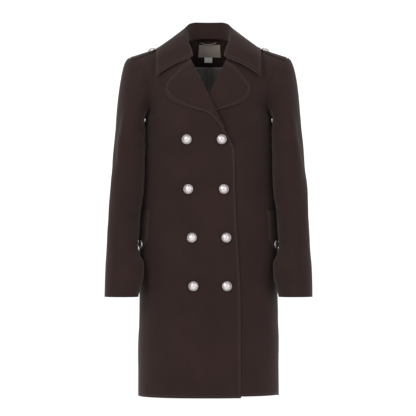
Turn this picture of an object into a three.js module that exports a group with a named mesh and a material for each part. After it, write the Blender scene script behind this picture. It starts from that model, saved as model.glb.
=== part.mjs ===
// A double-breasted military coat in heavy wool, filled out as it is worn, with nobody in it.
// Millimetres, +Z up. The front faces -Y and the origin lies between the shoulders.
import * as THREE from 'three';

// Driving dimensions
const WALL = 2.4;              // melton cloth with its lining
const SEAM = 0.3;              // open line between two pieces that are sewn together
const LIE = 0.5;               // air between a piece and the panel that it lies on
const INSIDE_LIE = 2.6;        // and between the shell and what lines it
const BUTTON_AIR = 1.1;        // a button's back over the cloth, on its thread
const ROLL = 3.6;              // how far a fold stands up where the cloth turns back
const ARMPIT_Z = -170;
const HEM_Z = -893;
const UNDER_HEM_LIFT = 4;
const ROUNDNESS = 2.3;         // 2 is an ellipse, higher is squarer
const SLANT_AT_ARMHOLE = 1.7;  // 0.9 turns square to the side there, 2 stays slanted
const NECK_HALF_WIDTH = 60;
const FRONT_BUTTON_RADIUS = 12.5;
const SMALL_BUTTON_RADIUS = 10.5;
const EPAULETTE_HALF_WIDTH = 23;
const EPAULETTE_INNER_X = 133;
const EPAULETTE_OUTER_X = 203;
const FLAP_TOP_Z = -410;
const FLAP_FRONT_DROP = 77;
const FLAP_POINT_DROP = 108;
const FLAP_BUTTON_Z = -499;
const EPAULETTE_BUTTON_X = 146;
const EPAULETTE_BUTTON_Y = -4;
const FACING_FOOT_Z = -34;
const FACING_WALL = 1.4;
const LINING_FOOT_Z = -262;
const LINING_WALL = 1;
const PLEAT_X = 2;
const PLEAT_HALF_WIDTH = 9;
const PLEAT_DEPTH = 4;
const LABEL_WALL = 0.9;
const LABEL = { left: -28.5, right: 34.5, top: 25.5, foot: -7 };
const TAG = { left: -11, right: 10, top: -7.6, foot: -21.5 };
const LOOP_DEPTH = 8.5;
const LOOP_RADIUS = 1.5;
const LOOP_SIDES = 7;
const FRONT_COLUMNS = 13;

// Colours read from the cloth and the metal
const WOOL = new THREE.MeshStandardMaterial({ color: 0x2f2422, roughness: 0.95, metalness: 0 });
const SATIN = new THREE.MeshStandardMaterial({ color: 0x2a2826, roughness: 0.45, metalness: 0 });
const PEWTER = new THREE.MeshStandardMaterial({ color: 0xb8afac, roughness: 0.35, metalness: 1 });
const WOVEN = new THREE.MeshStandardMaterial({ color: 0x4d4541, roughness: 0.8, metalness: 0 });
const WHITE_TAPE = new THREE.MeshStandardMaterial({ color: 0xe9e4e1, roughness: 0.8, metalness: 0 });

// The body below the armpits: height, half width, depth of the front and of the back
const BODY = [
  { z: -893, half: 183, front: 130, back: 132 },
  { z: -760, half: 181.5, front: 127, back: 130 },
  { z: -620, half: 179, front: 122, back: 128 },
  { z: -520, half: 178.5, front: 118, back: 124 },
  { z: -430, half: 175.5, front: 112, back: 115 },
  { z: -350, half: 169.5, front: 107, back: 106 },
  { z: -260, half: 166.5, front: 113, back: 109 },
  { z: -170, half: 163, front: 118, back: 114 },
];

// The yoke, from the armpit (up 0) to the shoulder seam (up 1): where the armhole runs, how deep it
// lies, and how deep the chest and the back are at the middle
const YOKE = [
  { up: 0.00, frontX: 163, backX: 163, frontEdge: 0, backEdge: 0, chest: 118, back: 114, neckBack: 114 },
  { up: 0.06, frontX: 159, backX: 161, frontEdge: 30, backEdge: 32, chest: 118, back: 114, neckBack: 114 },
  { up: 0.18, frontX: 154, backX: 159, frontEdge: 50, backEdge: 52, chest: 117, back: 114, neckBack: 114 },
  { up: 0.38, frontX: 154, backX: 161, frontEdge: 62, backEdge: 66, chest: 108, back: 109, neckBack: 112 },
  { up: 0.60, frontX: 165, backX: 170, frontEdge: 60, backEdge: 62, chest: 87, back: 94, neckBack: 105 },
  { up: 0.78, frontX: 180, backX: 183, frontEdge: 48, backEdge: 49, chest: 60, back: 72, neckBack: 95 },
  { up: 0.90, frontX: 193, backX: 194, frontEdge: 33, backEdge: 33, chest: 37, back: 47, neckBack: 84 },
  { up: 0.97, frontX: 201, backX: 201, frontEdge: 17, backEdge: 17, chest: 18, back: 22, neckBack: 75 },
  { up: 1.00, frontX: 205, backX: 205, frontEdge: 0, backEdge: 0, chest: 0, back: 0, neckBack: 68 },
];

// The shoulder seam: distance from the middle and height
const SHOULDER = [
  { x: 0, z: 40 },
  { x: 30, z: 38 },
  { x: 60, z: 30 },
  { x: 125, z: 8 },
  { x: 165, z: -5 },
  { x: 190, z: -13 },
  { x: 205, z: -18 },
  { x: 222, z: -30 },
];

// The inner edge of a front: the front edge below the break, the roll line above it, the neck seam
// on top. A positive x lies past the middle.
const FRONT_EDGE = [
  { z: -893, x: 83 },
  { z: -620, x: 81 },
  { z: -500, x: 75 },
  { z: -430, x: 71 },
  { z: -370, x: 69 },
  { z: -255, x: 66 },
  { z: -233, x: 56 },
  { z: -210, x: 43 },
  { z: -170, x: 24 },
  { z: -109, x: -5 },
  { z: -29, x: -44 },
  { z: 4, x: -54 },
  { z: 30, x: -60 },
];

// The sleeve below the armpit: height, inner and outer edge as seen from the front, middle and half
// depth from front to back
const SLEEVE = [
  { z: -202, inner: 165.6, outer: 238.5, midY: -25, depth: 65 },
  { z: -250, inner: 166.8, outer: 243.5, midY: -31, depth: 64 },
  { z: -310, inner: 167.6, outer: 248.5, midY: -36, depth: 63 },
  { z: -365, inner: 170.2, outer: 254, midY: -38, depth: 62 },
  { z: -420, inner: 178.4, outer: 257, midY: -41, depth: 60 },
  { z: -475, inner: 181.2, outer: 260, midY: -45, depth: 58 },
  { z: -499, inner: 184.2, outer: 261, midY: -49, depth: 57 },
  { z: -524, inner: 180, outer: 262, midY: -57, depth: 54 },
  { z: -550, inner: 168.5, outer: 263.5, midY: -71, depth: 50 },
  { z: -582, inner: 169.5, outer: 264.5, midY: -76, depth: 51 },
  { z: -612, inner: 178, outer: 265.2, midY: -77, depth: 53 },
  { z: -634, inner: 183, outer: 265.5, midY: -77, depth: 54 },
];

// The outer edge of a lapel, from the break to its point, and its top edge back to the roll line
const LAPEL_EDGE = [
  { x: 43, z: -210 },
  { x: 19, z: -181 },
  { x: -2, z: -161 },
  { x: -36, z: -151 },
  { x: -73, z: -139 },
  { x: -92, z: -128 },
  { x: -105, z: -112 },
  { x: -107, z: -92 },
];
const LAPEL_TOP = [
  { x: -44, z: -29 },
  { x: -68, z: -43 },
  { x: -88, z: -67 },
  { x: -107, z: -92 },
];

// The collar from the middle of the back to its front end: where it folds, where its outer edge
// lies, and where it is sewn to the neck
const COLLAR = [
  { foldX: 0, foldY: 70, foldZ: 79, edgeX: 0, edgeY: 98, edgeZ: 0, seamX: 0, seamY: 61.5, seamZ: 37.5 },
  { foldX: 30, foldY: 64, foldZ: 79, edgeX: 52, edgeY: 94, edgeZ: 0, seamX: 27, seamY: 53.5, seamZ: 36 },
  { foldX: 50, foldY: 42, foldZ: 73, edgeX: 96, edgeY: 74, edgeZ: 2, seamX: 42.5, seamY: 37, seamZ: 32 },
  { foldX: 58, foldY: 14, foldZ: 60, edgeX: 124, edgeY: 40, edgeZ: 7, seamX: 51, seamY: 16.5, seamZ: 29.5 },
  { foldX: 59, foldY: -14, foldZ: 44, edgeX: 131, edgeY: -6, edgeZ: 8, seamX: 52.5, seamY: -9, seamZ: 26 },
  { foldX: 53, foldY: -46, foldZ: 15, edgeX: 131, edgeY: -58, edgeZ: -14, seamX: 45, seamY: -34, seamZ: 11 },
  { foldX: 44, foldY: -76, foldZ: -24, edgeX: 130, edgeY: -92, edgeZ: -70, seamX: 36, seamY: -58, seamZ: -22 },
];

// Front buttons from the top: height and distance of the left and right column from the middle
const BUTTON_ROWS = [
  { z: -229, left: -54, right: 33 },
  { z: -357, left: -51, right: 39 },
  { z: -482, left: -42, right: 45 },
  { z: -606, left: -38, right: 46.5 },
];

// Reading a value between the rows of a table, with no corner at a row
function read(table, key, at, column) {
  const last = table.length - 1;
  const up = table[last][key] > table[0][key] ? 1 : -1;
  let i = 0;
  while (i < last - 1 && up * at > up * table[i + 1][key]) i += 1;
  const slopeBetween = (k) => {
    const rise = table[k + 1][column] - table[k][column];
    return rise / (table[k + 1][key] - table[k][key]);
  };
  const slopeAt = (k) => {
    if (k === 0) return slopeBetween(0);
    if (k === last) return slopeBetween(last - 1);
    const before = slopeBetween(k - 1);
    const after = slopeBetween(k);
    return before * after <= 0 ? 0 : (2 * before * after) / (before + after);
  };
  const width = table[i + 1][key] - table[i][key];
  const t = THREE.MathUtils.clamp((at - table[i][key]) / width, 0, 1);
  const t2 = t * t;
  const t3 = t2 * t;
  return table[i][column] * (2 * t3 - 3 * t2 + 1)
    + table[i + 1][column] * (3 * t2 - 2 * t3)
    + slopeAt(i) * width * (t3 - 2 * t2 + t)
    + slopeAt(i + 1) * width * (t3 - t2);
}

const mix = THREE.MathUtils.lerp;
const smooth = THREE.MathUtils.smoothstep;
const point = (x, y, z) => new THREE.Vector3(x, y, z);

// The two halves of the body's skin. A face is the front (-1) or the back (1).
const YOKE_COLUMNS = {
  '-1': { edgeX: 'frontX', edgeDepth: 'frontEdge', middleDepth: 'chest', body: 'front' },
  1: { edgeX: 'backX', edgeDepth: 'backEdge', middleDepth: 'back', body: 'back' },
};

// Round the body from the side (turn 0) to the middle (turn 1) and past it, on one row
function spanPower(turn, deepPower = 2 / ROUNDNESS) {
  const angle = (turn * Math.PI) / 2;
  const across = Math.cos(angle);
  return {
    across: Math.sign(across) * Math.abs(across) ** (2 / ROUNDNESS),
    deep: Math.sin(angle) ** deepPower,
  };
}

// The turn at which a row reaches the distance x from the middle
function turnAt(x, half) {
  const share = THREE.MathUtils.clamp(x / half, -1, 1);
  const across = Math.sign(share) * Math.abs(share) ** (ROUNDNESS / 2);
  return Math.acos(across) / (Math.PI / 2);
}

// A point of the skin below the armpit
function lowPoint(face, turn, z) {
  const half = read(BODY, 'z', z, 'half');
  const depth = read(BODY, 'z', z, YOKE_COLUMNS[face].body);
  const { across, deep } = spanPower(turn);
  return point(across * half, face * depth * deep, z);
}

// A point of the skin above the armpit
function highPoint(face, turn, up) {
  const columns = YOKE_COLUMNS[face];
  const half = read(YOKE, 'up', up, columns.edgeX);
  const edge = read(YOKE, 'up', up, columns.edgeDepth);
  const middle = read(YOKE, 'up', up, columns.middleDepth);
  const slanted = spanPower(turn, SLANT_AT_ARMHOLE);
  const { across, deep } = spanPower(turn);
  const x = across * half;
  const square = ((middle * deep) ** 4 + edge ** 4) ** 0.25;
  let depth = mix(square, edge + (middle - edge) * slanted.deep, smooth(up, 0.04, 0.5));
  const z = ARMPIT_Z + up * (read(SHOULDER, 'x', Math.abs(x), 'z') - ARMPIT_Z);
  if (face > 0) {
    const reach = mix(210, NECK_HALF_WIDTH, smooth(up, 0.4, 1));
    const nearNeck = Math.max(0, 1 - (x / reach) ** 2) ** mix(1.4, 0.5, smooth(up, 0.85, 1));
    depth += nearNeck * Math.max(0, read(YOKE, 'up', up, 'neckBack') - depth);
  }
  return point(x, face * depth, z);
}

// The skin at a place that is known by x and z
function skinY(face, x, z) {
  const top = read(SHOULDER, 'x', Math.abs(x), 'z');
  if (z <= ARMPIT_Z) {
    const half = read(BODY, 'z', z, 'half');
    return lowPoint(face, turnAt(Math.abs(x), half), z).y;
  }
  const up = THREE.MathUtils.clamp((z - ARMPIT_Z) / (top - ARMPIT_Z), 0, 1);
  const half = read(YOKE, 'up', up, YOKE_COLUMNS[face].edgeX);
  return highPoint(face, turnAt(Math.abs(x), half), up).y;
}

// A point of the skin moved out square to it
function overSkin(face, x, z, out) {
  const step = 2;
  const alongX = (skinY(face, x + step, z) - skinY(face, x - step, z)) / (2 * step);
  const alongZ = (skinY(face, x, z + step) - skinY(face, x, z - step)) / (2 * step);
  const normal = point(-alongX, 1, -alongZ).multiplyScalar(face).normalize();
  return point(x, skinY(face, x, z), z).addScaledVector(normal, out);
}

// The direction that each point of a grid faces. The grid runs so that along the row crossed with up
// the column points outwards. A closed grid's last column meets its first.
function facings(grid, isClosed) {
  const rows = grid.length;
  const columns = grid[0].length;
  const at = (j, i) => {
    const row = grid[THREE.MathUtils.clamp(j, 0, rows - 1)];
    return isClosed ? row[(i + columns) % columns] : row[THREE.MathUtils.clamp(i, 0, columns - 1)];
  };
  return grid.map((row, j) => row.map((p, i) => {
    const along = at(j, i + 1).clone().sub(at(j, i - 1));
    const upward = at(j + 1, i).clone().sub(at(j - 1, i));
    const normal = along.cross(upward);
    if (Math.abs(p.y) <= SEAM && !isClosed) normal.y = 0;
    if (Math.abs(p.x) <= SEAM && !isClosed) normal.x = 0;
    return normal.normalize();
  }));
}

// A closed body from a grid of outer points and one of inner points
function closedBody(name, material, outer, inner) {
  const rows = outer.length;
  const columns = outer[0].length;
  const positions = [];
  const push = (...corners) => corners.forEach((c) => positions.push(c.x, c.y, c.z));
  const quad = (a, b, c, d) => {
    push(a, b, c);
    push(a, c, d);
  };
  for (let j = 0; j < rows - 1; j += 1) {
    for (let i = 0; i < columns - 1; i += 1) {
      quad(outer[j][i], outer[j][i + 1], outer[j + 1][i + 1], outer[j + 1][i]);
      quad(inner[j][i], inner[j + 1][i], inner[j + 1][i + 1], inner[j][i + 1]);
    }
  }
  const top = rows - 1;
  const side = columns - 1;
  for (let i = 0; i < side; i += 1) {
    quad(inner[0][i], inner[0][i + 1], outer[0][i + 1], outer[0][i]);
    quad(inner[top][i + 1], inner[top][i], outer[top][i], outer[top][i + 1]);
  }
  for (let j = 0; j < top; j += 1) {
    quad(inner[j + 1][0], inner[j][0], outer[j][0], outer[j + 1][0]);
    quad(inner[j][side], inner[j + 1][side], outer[j + 1][side], outer[j][side]);
  }
  const geometry = new THREE.BufferGeometry();
  geometry.setAttribute('position', new THREE.Float32BufferAttribute(positions, 3));
  geometry.computeVertexNormals();
  const mesh = new THREE.Mesh(geometry, material);
  mesh.name = name;
  return mesh;
}

// A wall from a grid of outer points. Its inner points lie one thickness behind them.
function wall(name, material, grid, thickness = WALL) {
  const facing = facings(grid, false);
  const inner = grid.map((row, j) => row.map((p, i) => p.clone().addScaledVector(facing[j][i], -thickness)));
  return closedBody(name, material, grid, inner);
}

const mirrorX = (p) => point(-p.x, p.y, p.z);
const flipRows = (grid) => grid.map((row) => [...row].reverse());
const mirrorGrid = (grid) => flipRows(grid.map((row) => row.map(mirrorX)));
const steps = (count) => Array.from({ length: count + 1 }, (_, k) => k / count);

// The heights and rises that the rows of a body panel and of a sleeve run through
const LOW_ROWS = 13;
const ARM_ROWS = 11;
const HEAD_SHARES = [0.8, 0.6, 0.42, 0.25, 0.1, 0];
const HIGH_RISES = [0, 0.06, 0.18, 0.32, 0.46, 0.6, 0.72, 0.82, 0.9, 0.95, 0.985];

// How far the over-front stands off the skin, so that it passes over the other front and its lapel
function overlapLift(x, z) {
  const besideMiddle = smooth(x, -150, -92);
  const overLapel = smooth(z, -262, -212) * (1 - smooth(z, -90, -40));
  return besideMiddle * mix(WALL + LIE, 2 * (WALL + LIE) + ROLL, overLapel);
}

// One front. Seen with its side seam at +X, and its inner edge past the middle at -X
function frontGrid(columns, hemZ, isOver) {
  const grid = [];
  const row = (half, makePoint, innerX) => {
    const last = turnAt(-innerX, half);
    const points = steps(columns).reverse().map((share) => {
      const p = makePoint(share * last);
      if (!isOver) return p;
      const lift = overlapLift(-p.x, p.z);
      return lift > 0.01 ? overSkin(-1, p.x, p.z, lift) : p;
    });
    grid.push(points);
  };
  steps(LOW_ROWS).forEach((share) => {
    if (share === 1) return;
    const z = mix(hemZ, ARMPIT_Z, share);
    row(read(BODY, 'z', z, 'half'), (turn) => lowPoint(-1, turn, z), read(FRONT_EDGE, 'z', z, 'x'));
  });
  HIGH_RISES.forEach((up) => {
    const z = mix(ARMPIT_Z, 30, up);
    row(read(YOKE, 'up', up, 'frontX'), (turn) => highPoint(-1, turn, up), read(FRONT_EDGE, 'z', z, 'x'));
  });
  return grid;
}

// One back panel, seen with its side seam at +X and the middle of the back at the seam. Its columns
// stand closer where the neck is cut round.
const BACK_TURNS = [0, 0.07, 0.15, 0.25, 0.36, 0.48, 0.6, 0.7, 0.78, 0.845, 0.87, 0.905, 0.95, 1];

function backGrid() {
  const grid = [];
  const row = (half, makePoint) => {
    const last = turnAt(SEAM / 2, half);
    grid.push(BACK_TURNS.map((share) => makePoint(share * last)));
  };
  steps(LOW_ROWS).forEach((share) => {
    if (share === 1) return;
    const z = mix(HEM_Z, ARMPIT_Z, share);
    row(read(BODY, 'z', z, 'half'), (turn) => lowPoint(1, turn, z));
  });
  [...HIGH_RISES, 1].forEach((up) => {
    row(read(YOKE, 'up', up, 'backX'), (turn) => highPoint(1, turn, up));
  });
  return grid;
}

// Moves the side edge of a panel back from the line that it shares with the next panel
function clearSide(grid, towardY) {
  grid.forEach((row) => row.forEach((p) => {
    if (Math.abs(p.y) < 0.2) p.y = (towardY * SEAM) / 2;
  }));
  return grid;
}

// The armhole as a loop: 0 at the armpit, a quarter at the front, half at the shoulder tip. It has
// the very points in which the rows of the front and the back end.
const RISES = [...HIGH_RISES, 1];
const loopAt = (up) => Math.acos(1 - 2 * up) / (2 * Math.PI);
const LOOPS = [
  ...RISES.map((up) => ({ face: -1, up, loop: loopAt(up) })),
  ...RISES.slice(1, -1).reverse().map((up) => ({ face: 1, up, loop: 1 - loopAt(up) })),
];
const FRONT_SLEEVE_SEAM = 2;   // the place in LOOPS of the sleeve's front seam
const BACK_SLEEVE_SEAM = 18;   // and of its back seam

// A point of the sleeve: loop as for the armhole, z below the armpit
function sleevePoint(loop, z) {
  const inner = read(SLEEVE, 'z', z, 'inner');
  const outer = read(SLEEVE, 'z', z, 'outer');
  const angle = loop * 2 * Math.PI;
  const round = 2 / 2.15;
  const across = -Math.sign(Math.cos(angle)) * Math.abs(Math.cos(angle)) ** round;
  const forward = -Math.sign(Math.sin(angle)) * Math.abs(Math.sin(angle)) ** round;
  const x = (inner + outer) / 2 + ((outer - inner) / 2) * across;
  const y = read(SLEEVE, 'z', z, 'midY') + read(SLEEVE, 'z', z, 'depth') * forward;
  return point(x, y, z);
}

// The sleeve head swings out from the armhole and down into the arm
function sleeveHeadPoint({ face, up, loop }, t) {
  const apart = SEAM * (2 - smooth(up, 0, 0.3));
  const from = highPoint(face, 0, up).add(point(apart, 0, 0));
  const to = sleevePoint(loop, SLEEVE[0].z);
  const span = from.distanceTo(to);
  const leave = point(0.995, 0, -0.1).multiplyScalar(20 + 0.22 * span);
  const arrive = point(0.07, 0, -1).multiplyScalar(span);
  const t2 = t * t;
  const t3 = t2 * t;
  return from.multiplyScalar(2 * t3 - 3 * t2 + 1)
    .addScaledVector(to, 3 * t2 - 2 * t3)
    .addScaledVector(leave, t3 - 2 * t2 + t)
    .addScaledVector(arrive, t3 - t2);
}

// The whole +X sleeve as a tube, and the two panels that it is cut into
function sleeveTube() {
  const rows = steps(ARM_ROWS).map((share) => {
    const z = mix(SLEEVE[SLEEVE.length - 1].z, SLEEVE[0].z, share);
    return LOOPS.map(({ loop }) => sleevePoint(loop, z));
  });
  HEAD_SHARES.forEach((share) => rows.push(LOOPS.map((place) => sleeveHeadPoint(place, share))));
  const outer = flipRows(rows);
  const facing = facings(outer, true);
  const inner = outer.map((row, j) => row.map((p, i) => {
    const normal = facing[j][i].clone();
    if (j === outer.length - 1) normal.setX(0).normalize();
    return p.clone().addScaledVector(normal, -WALL);
  }));
  return { outer: flipRows(outer), inner: flipRows(inner) };
}

function sleevePanel(name, tube, from, to, isMirrored) {
  const count = LOOPS.length;
  const cut = (grid) => grid.map((row) => {
    const span = [];
    for (let k = from; k <= to; k += 1) span.push(row[(k + count) % count].clone());
    const last = span.length - 1;
    const first = span[0].clone();
    span[0].add(span[1].clone().sub(first).setLength(SEAM));
    const end = span[last].clone();
    span[last].add(span[last - 1].clone().sub(end).setLength(SEAM));
    return span;
  });
  const finish = (grid) => (isMirrored ? grid.map((row) => row.map(mirrorX)) : flipRows(grid));
  return closedBody(name, WOOL, finish(cut(tube.outer)), finish(cut(tube.inner)));
}

// Where a lapel or the skin below it lies at x and z, on the over side or the under side
function lapelPoint(x, z, isOver, out) {
  const lift = isOver ? overlapLift(x, z) : 0;
  return overSkin(-1, x, z, lift + out);
}

// One lapel on the -X side, from its roll line (across 0) to its outer edge (across 1)
function lapelGrid(isOver) {
  const along = (table, share) => {
    const curve = new THREE.CatmullRomCurve3(table.map((p) => point(p.x, 0, p.z)), false, 'centripetal');
    return curve.getPointAt(share);
  };
  const rollStart = LAPEL_EDGE[0];
  const rollEnd = LAPEL_TOP[0];
  const corner = LAPEL_TOP[LAPEL_TOP.length - 1];
  const rows = [];
  const acrossShares = [-0.02, 0.03, 0.15, 0.3, 0.45, 0.6, 0.75, 0.88, 1];
  steps(11).forEach((step) => {
    const share = mix(0.06, 1, step);
    const row = acrossShares.map((across) => {
      const roll = point(mix(rollStart.x, rollEnd.x, share), 0, mix(rollStart.z, rollEnd.z, share));
      const edge = along(LAPEL_EDGE, share);
      const top = along(LAPEL_TOP, Math.max(0, across));
      const flat = point(mix(rollEnd.x, corner.x, across), 0, mix(rollEnd.z, corner.z, across));
      const place = roll.lerp(edge, across).addScaledVector(top.sub(flat), share);
      const raised = ROLL * 0.6 * Math.exp(-Math.max(0, across) * 9);
      return lapelPoint(place.x, place.z, isOver, WALL + 3 * LIE + raised);
    });
    rows.push(row);
  });
  return flipRows(rows);
}

// The collar's two leaves along half its length, on the +X side
function collarStation(share) {
  const table = COLLAR.map((row, k) => ({ ...row, share: k / (COLLAR.length - 1) }));
  const value = (column) => read(table, 'share', share, column);
  return {
    fold: point(value('foldX'), value('foldY'), value('foldZ')),
    edge: point(value('edgeX'), value('edgeY'), value('edgeZ')),
    seam: point(value('seamX'), value('seamY'), value('seamZ')),
  };
}

function collarRow(signedShare, makeRow) {
  const row = makeRow(collarStation(Math.abs(signedShare)), Math.abs(signedShare));
  return signedShare < 0 ? row.map(mirrorX) : row;
}

// Turns rows that run along the collar from -1 to 1 into a wall's grid
function collarGrid(count, reach, makeRow) {
  const stations = steps(count).map((share) => mix(-reach, reach, share));
  const columns = stations.map((signedShare) => collarRow(signedShare, makeRow));
  return columns[0].map((_, j) => columns.map((column) => column[j]));
}

// Moves a point out of the skin until it lies clear of it
function clearSkin(p, out) {
  const q = p.clone();
  for (let k = 0; k < 4; k += 1) {
    const top = read(SHOULDER, 'x', Math.abs(q.x), 'z');
    const up = (q.z - ARMPIT_Z) / (top - ARMPIT_Z);
    const face = q.y < 0 ? -1 : 1;
    if (up < 0.88) {
      const base = overSkin(face, q.x, q.z, 0);
      const normal = overSkin(face, q.x, q.z, 1).sub(base);
      const clear = (q.y - base.y) * normal.y;
      if (clear < out) q.addScaledVector(normal, out - clear);
    } else if (Math.abs(q.x) > NECK_HALF_WIDTH) {
      const base = onShoulder(q.x, q.y, 0);
      const normal = onShoulder(q.x, q.y, 1).sub(base);
      const clear = (q.z - base.z) * normal.z;
      if (clear < out) q.addScaledVector(normal, out - clear);
    }
  }
  return q;
}

function fallRow(station, share) {
  const out = station.edge.clone().sub(station.fold);
  const outward = point(out.x, out.y, 0).normalize();
  const bulge = mix(5, 4, share);
  const lip = station.fold.clone().addScaledVector(outward, -2.6).add(point(0, 0, -4));
  const crest = station.fold.clone().add(point(0, 0, 1));
  const rest = [0.12, 0.32, 0.55, 0.78, 1].map((across) => station.fold.clone()
    .addScaledVector(out, across)
    .addScaledVector(outward, bulge * Math.sin(Math.PI * across) * 0.6)
    .add(point(0, 0, bulge * Math.sin(Math.PI * across) * 0.8)));
  const clear = (p, k) => (k < 1 ? p : clearSkin(p, WALL + 3 * LIE));
  return [lip, crest, ...rest.map(clear)].reverse();
}

function standRow(station, share) {
  const top = station.fold.clone().add(point(0, 0, -5));
  top.x *= mix(1, 0.88, share ** 2);
  return [0, 0.5, 1].map((up) => station.seam.clone().lerp(top, up));
}

// An epaulette lies along the shoulder, over the seam, with a pointed inner end
function shoulderTop(x, y) {
  const face = y < 0 ? -1 : 1;
  let low = ARMPIT_Z;
  let high = read(SHOULDER, 'x', x, 'z');
  for (let k = 0; k < 24; k += 1) {
    const z = (low + high) / 2;
    if (Math.abs(skinY(face, x, z)) > Math.abs(y)) low = z;
    else high = z;
  }
  return (low + high) / 2;
}

function onShoulder(x, y, out) {
  const step = 3;
  const alongX = (shoulderTop(x + step, y) - shoulderTop(x - step, y)) / (2 * step);
  const alongY = (shoulderTop(x, y + step) - shoulderTop(x, y - step)) / (2 * step);
  const normal = point(-alongX, -alongY, 1).normalize();
  return point(x, y, shoulderTop(x, y)).addScaledVector(normal, out);
}

function epauletteGrid() {
  return steps(6).map((across) => {
    const y = mix(-1, 1, across);
    const innerX = EPAULETTE_INNER_X + 12 * Math.abs(y) ** 1.6;
    const halfWidth = (x) => mix(EPAULETTE_HALF_WIDTH * 0.82, EPAULETTE_HALF_WIDTH, smooth(x, 133, 203));
    return steps(8).map((share) => {
      const x = mix(innerX, EPAULETTE_OUTER_X - 5.5 * y * y, share);
      return onShoulder(x, y * halfWidth(x), LIE + WALL);
    });
  });
}

// A pocket flap lies on the side of the hip, its point at its middle
const FLAP_FRONT_TURN = 0.37;
const FLAP_BACK_TURN = 0.09;
const FLAP_MIDDLE = (FLAP_FRONT_TURN + FLAP_BACK_TURN) / 2;

function flapPoint(turn, z, out) {
  const face = turn >= 0 ? -1 : 1;
  const place = lowPoint(face, Math.abs(turn), z);
  const near = lowPoint(face, Math.abs(turn) + 0.01, z);
  const tangent = near.sub(place).multiplyScalar(turn >= 0 ? 1 : -1);
  const normal = point(-tangent.y, tangent.x, 0).normalize();
  return place.addScaledVector(normal, out);
}

function flapGrid() {
  const columns = steps(10).map((share) => {
    const turn = mix(FLAP_BACK_TURN, FLAP_FRONT_TURN, share);
    const fromMiddle = Math.abs(share - 0.5) * 2;
    const drop = mix(FLAP_POINT_DROP, FLAP_FRONT_DROP, fromMiddle);
    return steps(5).map((down) => flapPoint(turn, FLAP_TOP_Z - drop * down, LIE + WALL + 0.6 * down));
  });
  return columns[0].map((_, j) => columns.map((column) => column[j]));
}

// A domed button with a raised rim, standing along +Z before it is turned
function buttonMesh(name, radius, place, outward) {
  const profile = [
    [0, 0], [0.8, 0.04], [1, 0.16], [0.98, 0.32], [0.84, 0.36], [0.55, 0.52], [0, 0.6],
  ].map(([r, h]) => new THREE.Vector2(r * radius, h * radius));
  const geometry = new THREE.LatheGeometry(profile, 16);
  geometry.rotateX(Math.PI / 2);
  const mesh = new THREE.Mesh(geometry, PEWTER);
  mesh.name = name;
  mesh.position.copy(place).addScaledVector(outward, BUTTON_AIR);
  mesh.quaternion.setFromUnitVectors(point(0, 0, 1), outward);
  return mesh;
}

// Round buttons stand square to the cloth that they are sewn to
function frontButtons() {
  BUTTON_ROWS.forEach((row, k) => {
    ['left', 'right'].forEach((column) => {
      const x = row[column];
      const base = overSkin(-1, x, row.z, overlapLift(x, row.z));
      const outward = overSkin(-1, x, row.z, 1).sub(overSkin(-1, x, row.z, 0)).normalize();
      add(buttonMesh(`button_${column}_${k + 1}`, FRONT_BUTTON_RADIUS, base, outward));
    });
  });
}

function sideButtons(side, mirrored) {
  const turned = (p) => (mirrored ? mirrorX(p) : p);
  const strap = onShoulder(EPAULETTE_BUTTON_X, EPAULETTE_BUTTON_Y, LIE + WALL);
  const strapOut = onShoulder(EPAULETTE_BUTTON_X, EPAULETTE_BUTTON_Y, LIE + WALL + 1).sub(strap);
  add(buttonMesh(`epaulette_button_${side}`, SMALL_BUTTON_RADIUS, turned(strap), turned(strapOut)));
  const flap = flapPoint(FLAP_MIDDLE, FLAP_BUTTON_Z, LIE + WALL + 0.6);
  const flapOut = flapPoint(FLAP_MIDDLE, FLAP_BUTTON_Z, LIE + WALL + 1.6).sub(flap);
  add(buttonMesh(`flap_button_${side}`, SMALL_BUTTON_RADIUS, turned(flap), turned(flapOut)));
}

// What shows inside the neck lies against the inner side of the back, facing the front.
// A patch runs from its left edge to its right edge and from its foot to its head.
function innerPatch(name, material, patch, depth, thickness, count) {
  const rows = steps(count.up).map((up) => steps(count.across).map((across) => {
    const head = patch.head(mix(patch.left, patch.right, across));
    const foot = patch.foot(mix(patch.left, patch.right, across));
    const x = mix(patch.left, patch.right, across);
    const pleat = patch.pleat ? patch.pleat(x, up) : 0;
    return overSkin(1, x, mix(foot, head, up), -depth - thickness - pleat);
  }));
  return wall(name, material, rows, thickness);
}

function neckHead(x) {
  return read(SHOULDER, 'x', Math.abs(x), 'z') - 6;
}

function hangerLoop() {
  const at = (x, z) => overSkin(1, x, z, -WALL - LOOP_DEPTH);
  const route = new THREE.CatmullRomCurve3([at(-24, 35), at(-13, 30), at(0, 28.5), at(13, 30), at(24, 35)]);
  const circle = new THREE.EllipseCurve(0, 0, LOOP_RADIUS, LOOP_RADIUS, 0, Math.PI * 2);
  const section = new THREE.Shape(circle.getPoints(LOOP_SIDES).slice(0, LOOP_SIDES));
  const along = { steps: 12, extrudePath: route, bevelEnabled: false };
  const mesh = new THREE.Mesh(new THREE.ExtrudeGeometry(section, along), WOOL);
  mesh.name = 'hanger_loop';
  return mesh;
}

const coat = new THREE.Group();
const add = (mesh) => coat.add(mesh);

// Fronts, backs and lapels
const overFront = clearSide(frontGrid(FRONT_COLUMNS, HEM_Z, true), -1);
const underFront = clearSide(frontGrid(FRONT_COLUMNS, HEM_Z + UNDER_HEM_LIFT, false), -1);
add(wall('front_over', WOOL, mirrorGrid(overFront)));
add(wall('front_under', WOOL, underFront));
const backRight = clearSide(backGrid(), 1);
add(wall('back_right', WOOL, backRight));
add(wall('back_left', WOOL, mirrorGrid(backRight)));
add(wall('lapel_over', WOOL, lapelGrid(true)));
add(wall('lapel_under', WOOL, mirrorGrid(lapelGrid(false))));

// Collar
add(wall('collar_fall', WOOL, collarGrid(26, 0.985, fallRow)));
add(wall('collar_stand', WOOL, collarGrid(22, 0.94, standRow)));

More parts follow.
